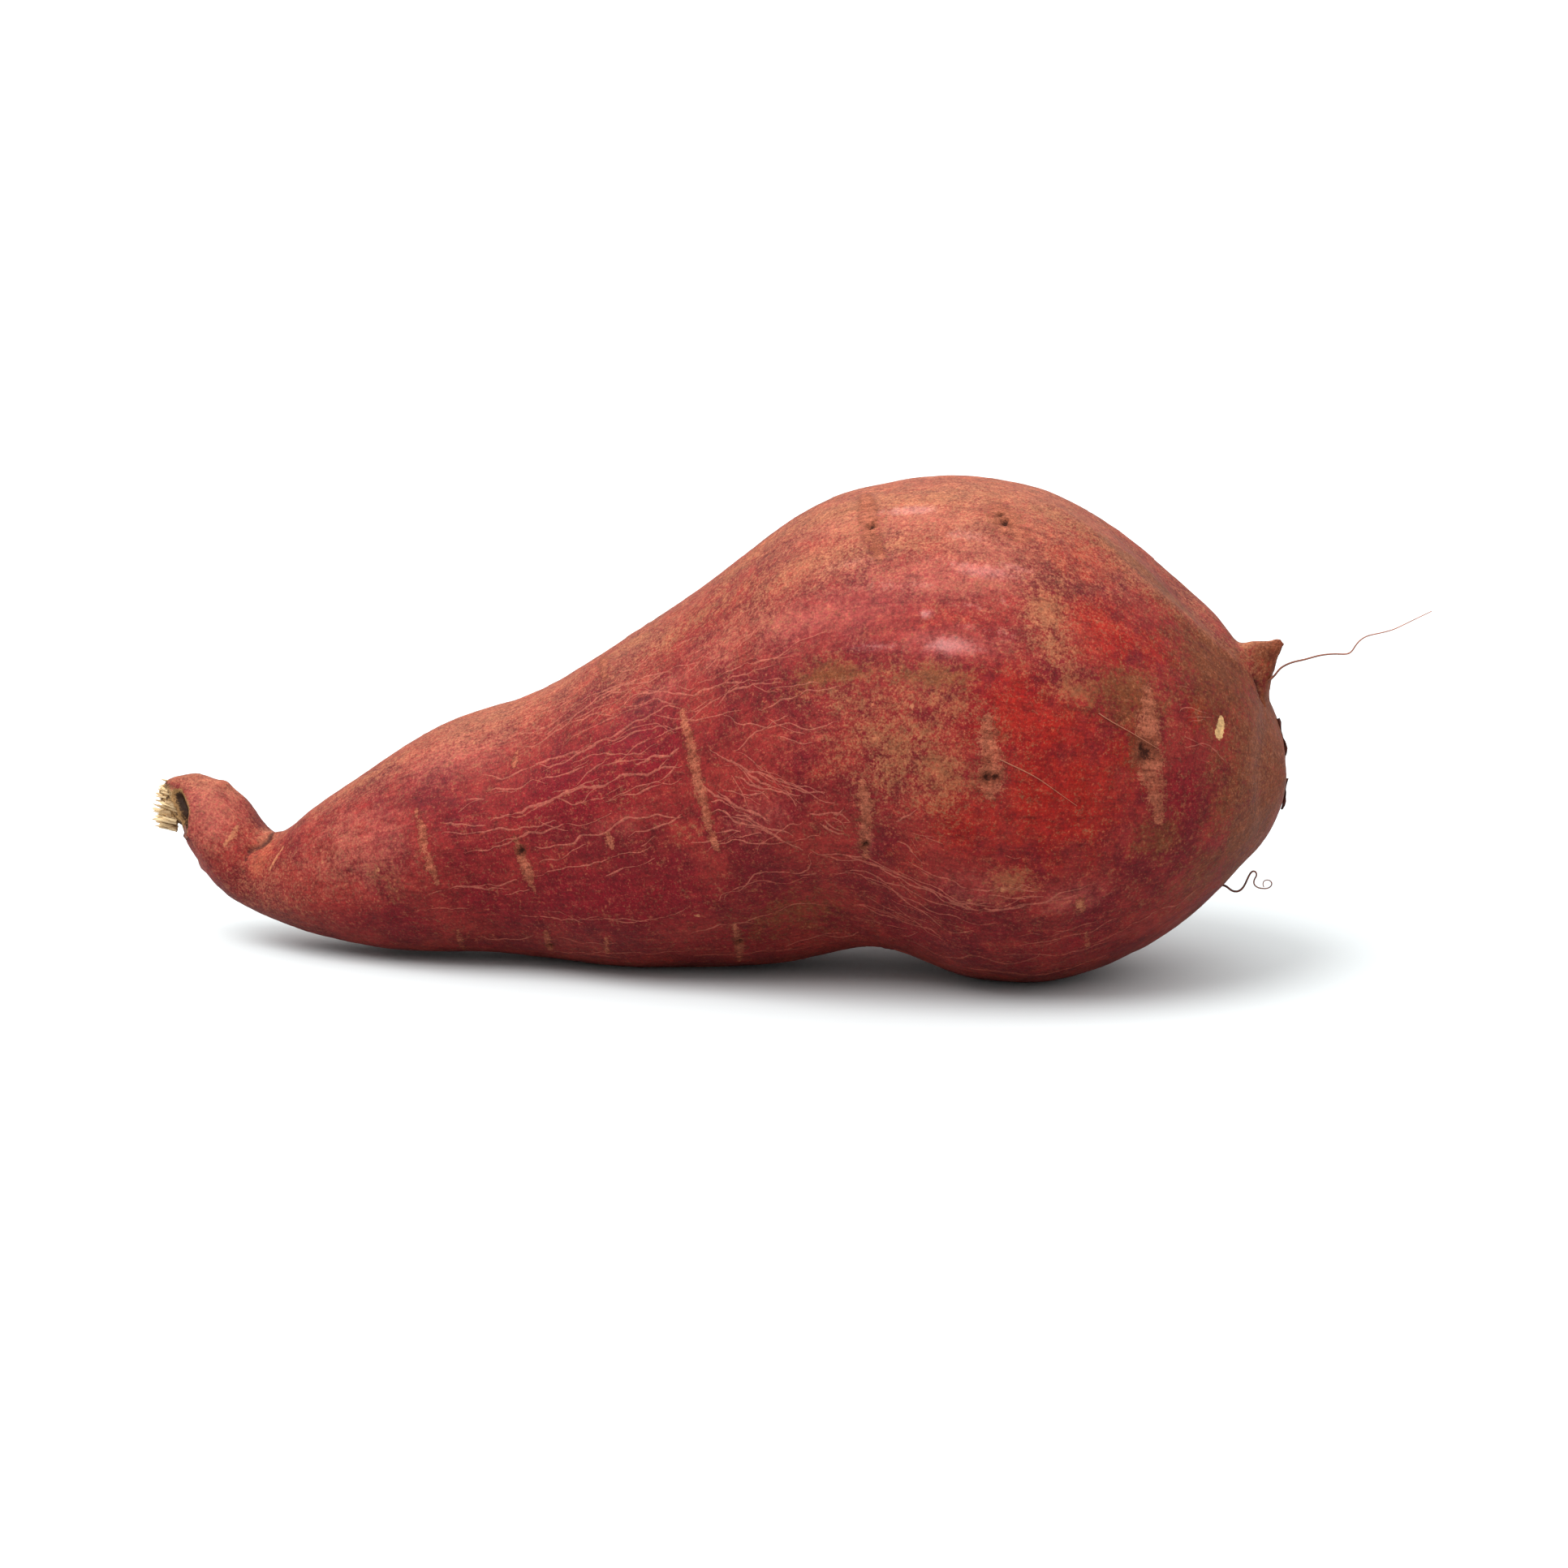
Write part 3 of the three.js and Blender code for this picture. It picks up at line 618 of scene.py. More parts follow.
# The top of the spur is flat: where it is filled up, how far round and how much, in millimetres.
SPUR_TOP = (171.6, -0.8, 50.2)
SPUR_TOP_REACH = 2.4
SPUR_TOP_RISE = 0.9
SPUR_BROWN_REACH = 8.0

# The tip of the spur is torn, and the wood shows inside an oval on the stalk's face.
SPUR_TORN_REACH = 1.1
WOOD_OVAL = (0.5, 0.8, 1)

# Sizes of the relief's ripples in millimetres, and how far the waves draw out along the growth.
LUMPS_SIZE = 11
WAVES_SIZE = 3.2
WAVES_STRETCH = 4
GRAIN_SIZE = 1.6
FRAY_SIZE = 2.2

# How far a scar's edge frays, between which heights over the table the relief fades in, and how
# steeply upwards the skin faces where dust lies and the top is painted lighter.
SCAR_FRAYS = 0.5
RELIEF_FADES_IN = (0.3, 2.5)
DUST_AND_TOP_LIGHT_FACING = (0.42, 1.0)

# How much the skin rises at each kind of mark, in millimetres. What sinks has a minus.
LUMPS_RISE = 0.16
WAVES_RISE = 0.07
GRAIN_RISE = 0.035
SCAR_RISE = 0.1
SCAR_ROUGH = 0.09
SCAR_MIDDLE_RISE = -0.05
PIT_RISE = -0.75
CREASE_RISE = -0.55
CLEFT_RISE = -0.9
NICK_RISE = -0.22
CREST_RISE = 0.45
HOLLOW_RISE = -0.7
PEEL_RISE = 0.12
TEAR_ROUGH = 0.1
STUB_RISE = -1.5


def patches(skin, listed):
    """Soft patches joined into one mask."""
    total = np.zeros(len(skin.mm))
    for spot, reach, strength in listed:
        total = np.maximum(total, strength * skin.patch(spot, reach))
    return total


def dots(skin, listed):
    """How deep inside round dots each vertex lies, as for a stroke."""
    depth = np.full(len(skin.mm), -1.0)
    for spot, size in listed:
        away = np.linalg.norm(skin.mm - skin.mm[skin.place(spot)], axis=1)
        depth = np.maximum(depth, 1 - away / size)
    return depth


def mark_skin(skin):
    """Works out every mark, shapes the skin by them and keeps them for the material."""
    scars = np.full(len(skin.mm), -1.0)
    for spots, half_width in SCARS:
        scars = np.maximum(scars, skin.stroke(spots, half_width))
    pits = dots(skin, PITS)
    pale = dots(skin, PALE_DOTS)
    crease = skin.stroke(*STALK_CREASE)
    cleft = skin.stroke(*SPUR_CLEFT)
    nick = np.maximum(skin.stroke(*NICK), skin.stroke(*NICK_LOWER_END))
    stub = skin.stroke(*STALK_HOLLOW)
    crest = skin.stroke(*SHOULDER_CREST)
    hollow = skin.stroke(*SHOULDER_HOLLOW)
    peel = np.maximum(skin.stroke(*STALK_PEEL), skin.stroke(*STALK_SCAR))
    tear = skin.patch(*STALK_TEAR)
    tip = close_to(skin.mm, SPUR_TIP, SPUR_TORN_REACH)

    lumps = skin.ripple(LUMPS_SIZE, seed=1)
    waves = skin.ripple(WAVES_SIZE, seed=2, stretch=WAVES_STRETCH)
    grain = skin.ripple(GRAIN_SIZE, seed=3)
    fray = skin.ripple(FRAY_SIZE, seed=4, octaves=2)
    scars = np.maximum(scars + SCAR_FRAYS * fray * (scars > -0.98), -1)
    off_table = smooth_step(skin.mm[:, 2], *RELIEF_FADES_IN)
    rise = LUMPS_RISE * lumps + WAVES_RISE * waves + GRAIN_RISE * grain
    rise += smooth_step(scars, -0.5, 0.35) * (SCAR_RISE + SCAR_ROUGH * fray)
    rise += SCAR_MIDDLE_RISE * smooth_step(scars, 0.2, 0.9)
    rise += PIT_RISE * smooth_step(pits, -0.2, 0.9)
    rise += CREASE_RISE * smooth_step(crease, -0.4, 0.9)
    rise += CLEFT_RISE * smooth_step(cleft, -0.3, 0.9)
    rise += NICK_RISE * smooth_step(nick, 0, 0.4)
    rise += CREST_RISE * smooth_step(crest, -0.6, 1)
    rise += HOLLOW_RISE * smooth_step(hollow, -0.9, 1)
    rise += PEEL_RISE * smooth_step(peel, -0.2, 0.6)
    rise += TEAR_ROUGH * tear * fray
    rise += STUB_RISE * smooth_step(stub, -0.1, 0.7)
    for spot, reach, height in KNOBS:
        rise += height * close_to(skin.mm, skin.mm[skin.place(spot)], reach)
    skin.co += skin.normal * (rise * off_table)[:, None] * MM
    filled = close_to(skin.mm, SPUR_TOP, SPUR_TOP_REACH)
    skin.co[:, 2] += SPUR_TOP_RISE * filled * MM
    skin.co[:, 2] = np.maximum(skin.co[:, 2], 0)
    skin.mesh.vertices.foreach_set("co", skin.co.ravel())
    skin.mesh.update()

    skin.write("scar", scars)
    skin.write("pit", pits)
    skin.write("crease", np.maximum(crease, cleft))
    # Skin that faces upwards takes tan dust, which also paints the top lighter as light from above
    # would.
    upwards = smooth_step(skin.normal[:, 2], *DUST_AND_TOP_LIGHT_FACING)
    skin.write("dust_and_top_light", np.maximum(upwards, patches(skin, DUSTY)))
    skin.write("pale", np.maximum(pale, peel))
    skin.write("nick", nick)
    skin.write("crest", crest)
    skin.write("tear", np.maximum(tear, tip))
    skin.write("crimson", patches(skin, CRIMSON))
    skin.write("scarlet", patches(skin, SCARLET))
    skin.write("olive", patches(skin, OLIVE))
    spur = close_to(skin.mm, SPUR_TIP, SPUR_BROWN_REACH)
    skin.write("brown", np.maximum(patches(skin, BROWN), spur))
    skin.write("rose", patches(skin, ROSE))
    skin.write("polish_and_painted_glint", patches(skin, POLISH_AND_PAINTED_GLINT))
    off_face = (skin.mm - np.array(STALK_FACE)) * np.array(WOOD_OVAL)
    skin.write("wood", np.linalg.norm(off_face, axis=1))
    skin.write("stub", stub)
    skin.write("vein", np.zeros(len(skin.mm)))
    flow = skin.mesh.attributes.new("flow", "FLOAT_VECTOR", "POINT")
    flow.data.foreach_set("vector", skin.flow().astype(np.float32).ravel())
    skin.settle()


# Materials. Lengths inside them are in millimetres.


def paint(red, green, blue):
    """A colour as it is seen on a screen, 0 to 255, as light."""
    parts = [c / 255 for c in (red, green, blue)]
    return [c / 12.92 if c <= 0.04045 else ((c + 0.055) / 1.055) ** 2.4 for c in parts] + [1]


# The skin's paints.
BRICK = paint(104, 14, 24)
BRICK_LIGHT = paint(134, 36, 33)
DUST_AND_TOP_LIGHT = paint(190, 124, 90)
DARK_THREAD = paint(84, 14, 16)
PALE_THREAD = paint(172, 92, 66)
FLECK = paint(194, 116, 82)
PAINTED_GLINT = paint(224, 130, 124)
VEIN_PALE = paint(192, 112, 92)
SCAR_RIM = paint(84, 28, 20)
SCAR_PALE = paint(192, 112, 84)
SCAR_DARK = paint(134, 66, 46)
PIT_EDGE = paint(96, 44, 26)
PIT_PAINTED_SHADE = paint(44, 16, 11)
CREASE_PAINTED_SHADE = paint(50, 18, 12)
DOT_PALE = paint(188, 120, 84)
CREST_TAN = paint(176, 98, 70)
TORN_TAN = paint(176, 92, 64)
FLESH = paint(222, 178, 122)
WOOD_DARK = paint(60, 38, 24)
WOOD_PALE = paint(190, 152, 104)
STUB_EDGE = paint(150, 112, 70)
STUB_PAINTED_SHADE = paint(50, 30, 18)
SHEEN_TINT = paint(236, 180, 140)

# Patches of the ground: the mark, how much it covers, its paint, where on the mark its edge starts
# and ends, and how much it breaks up into flecks.
GROUND_PATCHES = [
    ("rose", 0.75, paint(168, 76, 70), 0.15, 1.1, 0.0),
    ("scarlet", 0.85, paint(156, 24, 12), 0.2, 1.1, 0.0),
    ("crimson", 0.9, paint(116, 6, 24), 0.2, 1.0, 0.0),
    ("olive", 0.8, paint(158, 92, 60), 0.3, 1.2, 1.1),
    ("brown", 0.88, paint(108, 55, 27), 0.1, 0.9, 0.9),
]

# Sizes of the blots in the skin's noise, and how far the threads draw out along the growth.
BROAD_SIZE = 9.0
MIDDLE_SIZE = 2.8
SMALL_SIZE = 0.8
FLECK_SIZE = 0.6
SPECK_SIZE = 0.3
THREAD_SIZE = 0.6
THREAD_STRETCH = 9.0

# Where the wood of the broken stalk gives way to the skin.
WOOD_EDGE = (3.7, 4.2)

# Grain of dry plants: the sizes of its blots, and how strongly it varies the skin and the rest.
FINE_GRAIN_SIZE = 0.42
COARSE_GRAIN_SIZE = 1.9
SKIN_GRAIN = 3.0
DRY_GRAIN = 0.8

# Heights of the skin's finest relief.
GRAIN_HEIGHT = 0.07
MOTTLE_HEIGHT = 0.12
THREAD_HEIGHT = 0.06
VEIN_HEIGHT = 0.07
SCAR_HEIGHT = 0.3
PIT_HEIGHT = 0.3


# Sockets of the node that mixes two colours.
MIX_FIRST = 6
MIX_SECOND = 7
MIX_RESULT = 2


class Finish:
    """A material's nodes, made one after the other."""

    def __init__(self, tree):
        self.tree = tree

    def node(self, kind, inputs=None, **settings):
        """A new node with its inputs and settings."""
        made = self.tree.nodes.new(kind)
        for name, value in settings.items():
            setattr(made, name, value)
        for name, value in (inputs or {}).items():
            self.feed(made.inputs[name], value)
        return made

    def feed(self, socket, value):
        """Links another node's output to a socket, or sets a plain value on it."""
        if isinstance(value, bpy.types.NodeSocket):
            self.tree.links.new(value, socket)
        else:
            socket.default_value = value

    def mark(self, name):
        """A mark that is kept on the vertices."""
        return self.node("ShaderNodeAttribute", attribute_name=name).outputs["Fac"]

    def along_growth(self, stretch=1.0):
        """Places on the straightened skin, squeezed along the growth so that patterns draw out."""
        made = self.node("ShaderNodeAttribute", attribute_name="flow")
        inputs = {"Vector": made.outputs["Vector"], "Scale": (1 / stretch, 1, 1)}
        return self.node("ShaderNodeMapping", inputs).outputs["Vector"]

    def in_space(self):
        """Places in the object, in millimetres."""
        made = self.node("ShaderNodeTexCoord")
        inputs = {"Vector": made.outputs["Object"], "Scale": (1 / MM, 1 / MM, 1 / MM)}
        return self.node("ShaderNodeMapping", inputs).outputs["Vector"]

    def cloud(self, where, size, detail, roughness):
        """Noise whose broadest blots are about as large as the size."""
        inputs = {"Vector": where, "Scale": 1 / size, "Detail": detail, "Roughness": roughness}
        return self.node("ShaderNodeTexNoise", inputs).outputs["Fac"]

    def sum(self, a, b, kind="ADD", clamp=False):
        """Two values added, or put together in another way."""
        made = self.node("ShaderNodeMath", operation=kind, use_clamp=clamp)
        self.feed(made.inputs[0], a)
        self.feed(made.inputs[1], b)
        return made.outputs[0]

    def times(self, a, b):
        """Two values multiplied."""
        return self.sum(a, b, "MULTIPLY")

    def centred(self, value):
        """Noise brought round nothing."""
        return self.sum(value, -0.5)

    def step(self, value, low, high, to_low=0.0, to_high=1.0):
        """A smooth change from one value to another while the first one goes from low to high."""
        inputs = {"Value": value, "From Min": low, "From Max": high}
        inputs |= {"To Min": to_low, "To Max": to_high}
        made = self.node("ShaderNodeMapRange", inputs, interpolation_type="SMOOTHSTEP")
        return made.outputs["Result"]

    def blend(self, share, a, b):
        """The first colour, with a share of the second over it."""
        made = self.node("ShaderNodeMix", data_type="RGBA")
        self.feed(made.inputs["Factor"], share)
        self.feed(made.inputs[MIX_FIRST], a)
        self.feed(made.inputs[MIX_SECOND], b)
        return made.outputs[MIX_RESULT]


def new_finish(name):
    """An empty material with its Principled shader."""
    material = bpy.data.materials.new(name)
    material.use_nodes = True
    material.node_tree.nodes.clear()
    finish = Finish(material.node_tree)
    shader = finish.node("ShaderNodeBsdfPrincipled")
    finish.node("ShaderNodeOutputMaterial", {"Surface": shader.outputs["BSDF"]})
    return material, finish, shader


def grain_group():
    """Fine grain that dry plant surfaces share: it varies a colour and gives a height."""
    tree = bpy.data.node_groups.new("plant_grain", "ShaderNodeTree")
    for name, kind in (("Colour", "Color"), ("Where", "Vector"), ("Amount", "Float")):
        tree.interface.new_socket(name, in_out="INPUT", socket_type="NodeSocket" + kind)
    tree.interface.new_socket("Colour", in_out="OUTPUT", socket_type="NodeSocketColor")
    tree.interface.new_socket("Height", in_out="OUTPUT", socket_type="NodeSocketFloat")
    finish = Finish(tree)
    given = finish.node("NodeGroupInput")
    fine = finish.cloud(given.outputs["Where"], FINE_GRAIN_SIZE, 3.0, 0.7)
    coarse = finish.cloud(given.outputs["Where"], COARSE_GRAIN_SIZE, 4.0, 0.6)
    mixed = finish.sum(finish.times(fine, 0.6), finish.times(coarse, 0.4))
    gain = finish.sum(finish.times(finish.centred(mixed), given.outputs["Amount"]), 1.0)
    inputs = {"Color": given.outputs["Colour"], "Value": gain}
    value = finish.node("ShaderNodeHueSaturation", inputs)
    finish.node("NodeGroupOutput", {"Colour": value.outputs["Color"], "Height": fine})
    return tree


def skin_finish(grain):
    """The red skin with its patches, mottle, pale veins, scars, pits and torn places."""
    material, f, shader = new_finish("sweet_potato_skin")
    space, growth = f.in_space(), f.along_growth()
    broad = f.cloud(space, BROAD_SIZE, 4.0, 0.6)
    middle = f.centred(f.cloud(growth, MIDDLE_SIZE, 8.0, 0.68))
    small = f.centred(f.cloud(space, SMALL_SIZE, 5.0, 0.75))
    speck = f.centred(f.cloud(space, SPECK_SIZE, 2.0, 0.6))
    threads = f.centred(f.cloud(f.along_growth(THREAD_STRETCH), THREAD_SIZE, 4.0, 0.7))
    ragged = f.sum(f.times(middle, 1.7), f.times(small, 1.3))

    # The ground, from brick red to rose, with patches whose edges break up in the mottle.
    colour = f.blend(f.step(broad, 0.38, 0.62), BRICK, BRICK_LIGHT)
    for name, strength, tint, low, high, flecks in GROUND_PATCHES:
        edge = f.sum(ragged, f.times(f.sum(small, speck), flecks))
        share = f.step(f.sum(f.mark(name), edge), low, high, 0, strength)
        colour = f.blend(share, colour, tint)

    # Tan dust on the upper sides, partly painted top light, and darker and paler threads along the
    # growth.
    crumbs = f.sum(f.times(small, 1.1), f.times(speck, 1.3))
    dust_and_top_light = f.sum(f.times(f.mark("dust_and_top_light"), 0.56), f.sum(crumbs, f.times(middle, 0.45)))
    colour = f.blend(f.step(dust_and_top_light, 0.0, 1.0, 0, 0.76), colour, DUST_AND_TOP_LIGHT)
    less_in_dust_and_top_light = f.step(f.mark("dust_and_top_light"), 0.2, 0.9, 1, 0.45)
    dark_threads = f.times(f.step(threads, 0.0, 0.22, 0, 0.5), less_in_dust_and_top_light)
    colour = f.blend(dark_threads, colour, DARK_THREAD)
    colour = f.blend(f.step(f.sum(threads, speck), -0.1, -0.34, 0, 0.5), colour, PALE_THREAD)

    # Tan flecks, scattered all over.
    scattered = f.sum(f.cloud(space, FLECK_SIZE, 2.0, 0.5), f.times(middle, 0.25))
    colour = f.blend(f.step(scattered, 0.6, 0.74, 0, 0.22), colour, FLECK)

    # Smooth places that shine, with a pale pink highlight painted over them.
    polish_and_painted_glint = f.sum(f.mark("polish_and_painted_glint"), ragged)
    colour = f.blend(f.step(polish_and_painted_glint, 0.35, 1.1, 0, 0.25), colour, PAINTED_GLINT)

    # Raised veins, paler than the skin and crumbly at their edges.
    veins = f.step(f.sum(f.mark("vein"), f.times(small, 1.5)), 0.05, 0.6)
    colour = f.blend(f.times(veins, 0.44), colour, VEIN_PALE)

    # Scars with a streaky surface and a darker edge.
    flaky = f.sum(f.times(small, 1.5), speck)
    scar_depth = f.sum(f.mark("scar"), f.times(flaky, 2.3))
    rim = f.sum(f.step(scar_depth, -0.5, 0.05), f.step(scar_depth, 0.05, 0.5), "SUBTRACT", True)
    colour = f.blend(f.times(rim, 0.3), colour, SCAR_RIM)
    streaks = f.blend(f.step(f.sum(threads, small), -0.15, 0.2), SCAR_PALE, SCAR_DARK)
    colour = f.blend(f.step(scar_depth, -0.15, 0.4, 0, 0.76), colour, streaks)

    # Pits, painted shade in their hollows and in the crease and the cleft, pale dots, the
    # shoulder's crest, torn skin and the nick.
    pit_depth = f.sum(f.mark("pit"), f.times(flaky, 1.3))
    colour = f.blend(f.step(pit_depth, -0.75, 0.1, 0, 0.5), colour, PIT_EDGE)
    colour = f.blend(f.step(pit_depth, 0.15, 0.75, 0, 0.85), colour, PIT_PAINTED_SHADE)
    colour = f.blend(f.step(f.mark("crease"), -0.1, 0.8, 0, 0.8), colour, CREASE_PAINTED_SHADE)
    colour = f.blend(f.step(f.sum(f.mark("pale"), flaky), 0.0, 0.5, 0, 0.7), colour, DOT_PALE)
    crest = f.step(f.sum(f.mark("crest"), flaky), 0.6, 1.0, 0, 0.4)
    colour = f.blend(crest, colour, CREST_TAN)
    torn = f.step(f.sum(f.mark("tear"), f.sum(flaky, threads)), 0.3, 1.1, 0, 0.5)
    colour = f.blend(torn, colour, TORN_TAN)
    nick = f.step(f.sum(f.mark("nick"), f.times(flaky, 0.5)), 0.05, 0.2)
    colour = f.blend(nick, colour, FLESH)

    # The broken face of the stalk: cream wood mottled dark, and painted shade in the hollow beside
    # it.
    wood = f.step(f.sum(f.mark("wood"), f.times(flaky, 1.2)), *WOOD_EDGE, 1, 0)
    colour = f.blend(wood, colour, f.blend(f.step(small, -0.1, 0.1), WOOD_DARK, WOOD_PALE))
    stub = f.sum(f.mark("stub"), f.times(flaky, 0.6))
    colour = f.blend(f.step(stub, -0.25, 0.05), colour, STUB_EDGE)
    colour = f.blend(f.step(stub, 0.0, 0.4), colour, STUB_PAINTED_SHADE)

    shade = f.node("ShaderNodeGroup", node_tree=grain)
    f.feed(shade.inputs["Colour"], colour)
    f.feed(shade.inputs["Where"], space)
    f.feed(shade.inputs["Amount"], SKIN_GRAIN)
    f.feed(shader.inputs["Base Color"], shade.outputs["Colour"])

    rough = f.step(middle, -0.2, 0.2, 0.5, 0.62)
    rough = f.sum(rough, f.step(scar_depth, -0.2, 0.3, 0, 0.2))
    rough = f.sum(rough, f.step(polish_and_painted_glint, 0.1, 0.7, 0, 0.24), "SUBTRACT", True)
    f.feed(shader.inputs["Roughness"], rough)
    f.feed(shader.inputs["Coat Weight"], f.step(polish_and_painted_glint, 0.4, 1.1, 0, 0.6))
    shader.inputs["Coat Roughness"].default_value = 0.3
    shader.inputs["Specular IOR Level"].default_value = 0.15
    shader.inputs["Sheen Weight"].default_value = 0.03
    shader.inputs["Sheen Roughness"].default_value = 0.4
    shader.inputs["Sheen Tint"].default_value = SHEEN_TINT

    height = f.times(shade.outputs["Height"], GRAIN_HEIGHT)
    height = f.sum(height, f.times(small, MOTTLE_HEIGHT))
    height = f.sum(height, f.times(threads, THREAD_HEIGHT))
    height = f.sum(height, f.times(veins, VEIN_HEIGHT))
    height = f.sum(height, f.times(f.step(scar_depth, -0.1, 0.25), f.times(flaky, SCAR_HEIGHT)))
    height = f.sum(height, f.times(f.step(pit_depth, 0.0, 0.6), PIT_HEIGHT), "SUBTRACT")
    bump = f.node("ShaderNodeBump", {"Height": height, "Strength": 0.8, "Distance": MM})
    f.feed(shader.inputs["Normal"], bump.outputs["Normal"])
    return material


def plant_finish(name, dark, light, grain, size, rough):
    """A dry plant finish between two colours, by a tone kept on the piece and its own mottle."""
    material, f, shader = new_finish(name)
    space = f.in_space()
    mottle = f.centred(f.cloud(space, size, 4.0, 0.65))
    tone = f.sum(f.mark("tone"), f.times(mottle, 1.2), clamp=True)
    shade = f.node("ShaderNodeGroup", node_tree=grain)
    f.feed(shade.inputs["Colour"], f.blend(tone, dark, light))
    f.feed(shade.inputs["Where"], space)
    f.feed(shade.inputs["Amount"], DRY_GRAIN)
    f.feed(shader.inputs["Base Color"], shade.outputs["Colour"])
    f.feed(shader.inputs["Roughness"], f.step(mottle, -0.2, 0.2, rough - 0.08, rough + 0.08))
    height = shade.outputs["Height"]
    bump = f.node("ShaderNodeBump", {"Height": height, "Strength": 0.6, "Distance": 0.1 * MM})
    f.feed(shader.inputs["Normal"], bump.outputs["Normal"])
    return material


# Pieces.

HAIR_ROUNDNESS = 2
HAIR_SMOOTHNESS = 6
HAIR_TAPER = 0.65
LONG_HAIR_THICKNESS = 0.38 * MM
CURLED_HAIR_THICKNESS = 0.4 * MM
SKIN_HAIR_THICKNESS = 0.2 * MM

# Hairs that lie on the skin: their steps along it and how far they lift off it, in millimetres.
# Each has the photo's pixels and a seed.
SKIN_HAIR_STEP = 1.4
SKIN_HAIR_LIFTS = (0.05, 0.3)
SKIN_HAIRS = {
    "skin_hair_1": ([(1353, 877), (1368, 889), (1385, 901), (1405, 910), (1426, 921)], 3),
    "skin_hair_2": ([(1234, 934), (1255, 945), (1278, 959), (1302, 976), (1326, 991)], 4),
}

# The fibres of the broken stalk: how many, where they start and point, the half width and half
# height of the face that they stand on, their own sizes in millimetres, how far they twist and
# lean, how much they narrow, and how far they stray sideways, in depth and at their ends.
FIBRES = 80
FIBRES_FROM = (4.4, 26.9, 20.2)
FIBRES_OUT = (-0.95, 0.12, 0.16)
FIBRE_FACE = (2.6, 3.9)
FIBRE_LENGTHS = (2.6, 4.6)
FIBRE_WIDTHS = (0.4, 1.1)
FIBRE_THICKNESSES = (0.25, 0.6)
FIBRE_TWIST = 0.6
FIBRE_LEAN = 0.18
FIBRE_NARROWS = 0.55
FIBRE_STRAYS = (0.09, 0.07, 0.5)

# Curled flakes of dry skin: the photo's pixels, the half width and lift, and their seeds.
FLAKES = {
    "flake_1": ([(1581, 884), (1585, 905), (1587, 932)], 0.6 * MM, 0.35 * MM, 1),
    "flake_2": ([(1588, 958), (1587, 980), (1583, 1002)], 0.5 * MM, 0.35 * MM, 2),
}
STALK_SCRAP = ([(231, 1016), (230, 1025), (233, 1033)], 0.4 * MM, 0.5 * MM, 5)

# A flake's thickness, its gap over the skin, its step along its line in millimetres, how unevenly
# wide it is, and where across it its vertices lie, as shares of the half width.
FLAKE_THICKNESS = 0.09 * MM
FLAKE_GAP = 0.05 * MM
FLAKE_STEP = 0.45
FLAKE_UNEVEN = (0.6, 1.2)
FLAKE_ACROSS = (-1, -0.4, 0.3, 1)


def finished(mesh, name, material):
    """An object of the root, shaded smooth, riding on it."""
    mesh.materials.clear()
    mesh.materials.append(material)
    mesh.polygons.foreach_set("use_smooth", [True] * len(mesh.polygons))
    piece = bpy.data.objects.new(name, mesh)
    bpy.context.collection.objects.link(piece)
    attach(piece, "root")
    return piece


def hair(name, points, thickness, material, tones):
    """A hair root along some points, tapering to its tip, with its tones at both ends."""
    curve = bpy.data.curves.new(name, "CURVE")
    curve.dimensions = "3D"
    curve.bevel_depth = thickness / 2
    curve.bevel_resolution = HAIR_ROUNDNESS
    curve.resolution_u = HAIR_SMOOTHNESS
    curve.use_fill_caps = True
    spline = curve.splines.new("NURBS")
    spline.points.add(len(points) - 1)
    for i, (point, place) in enumerate(zip(spline.points, points)):
        point.co = (*place, 1)
        point.radius = 1 - HAIR_TAPER * i / (len(points) - 1)
    spline.order_u = 4
    spline.use_endpoint_u = True
    holder = bpy.data.objects.new(name, curve)
    bpy.context.collection.objects.link(holder)
    mesh = mesh_of(holder)
    mesh.name = name
    tone = mesh.attributes.new("tone", "FLOAT", "POINT")
    tone.data.foreach_set("value", np.linspace(*tones, len(mesh.vertices), dtype=np.float32))
    return finished(mesh, name, material)


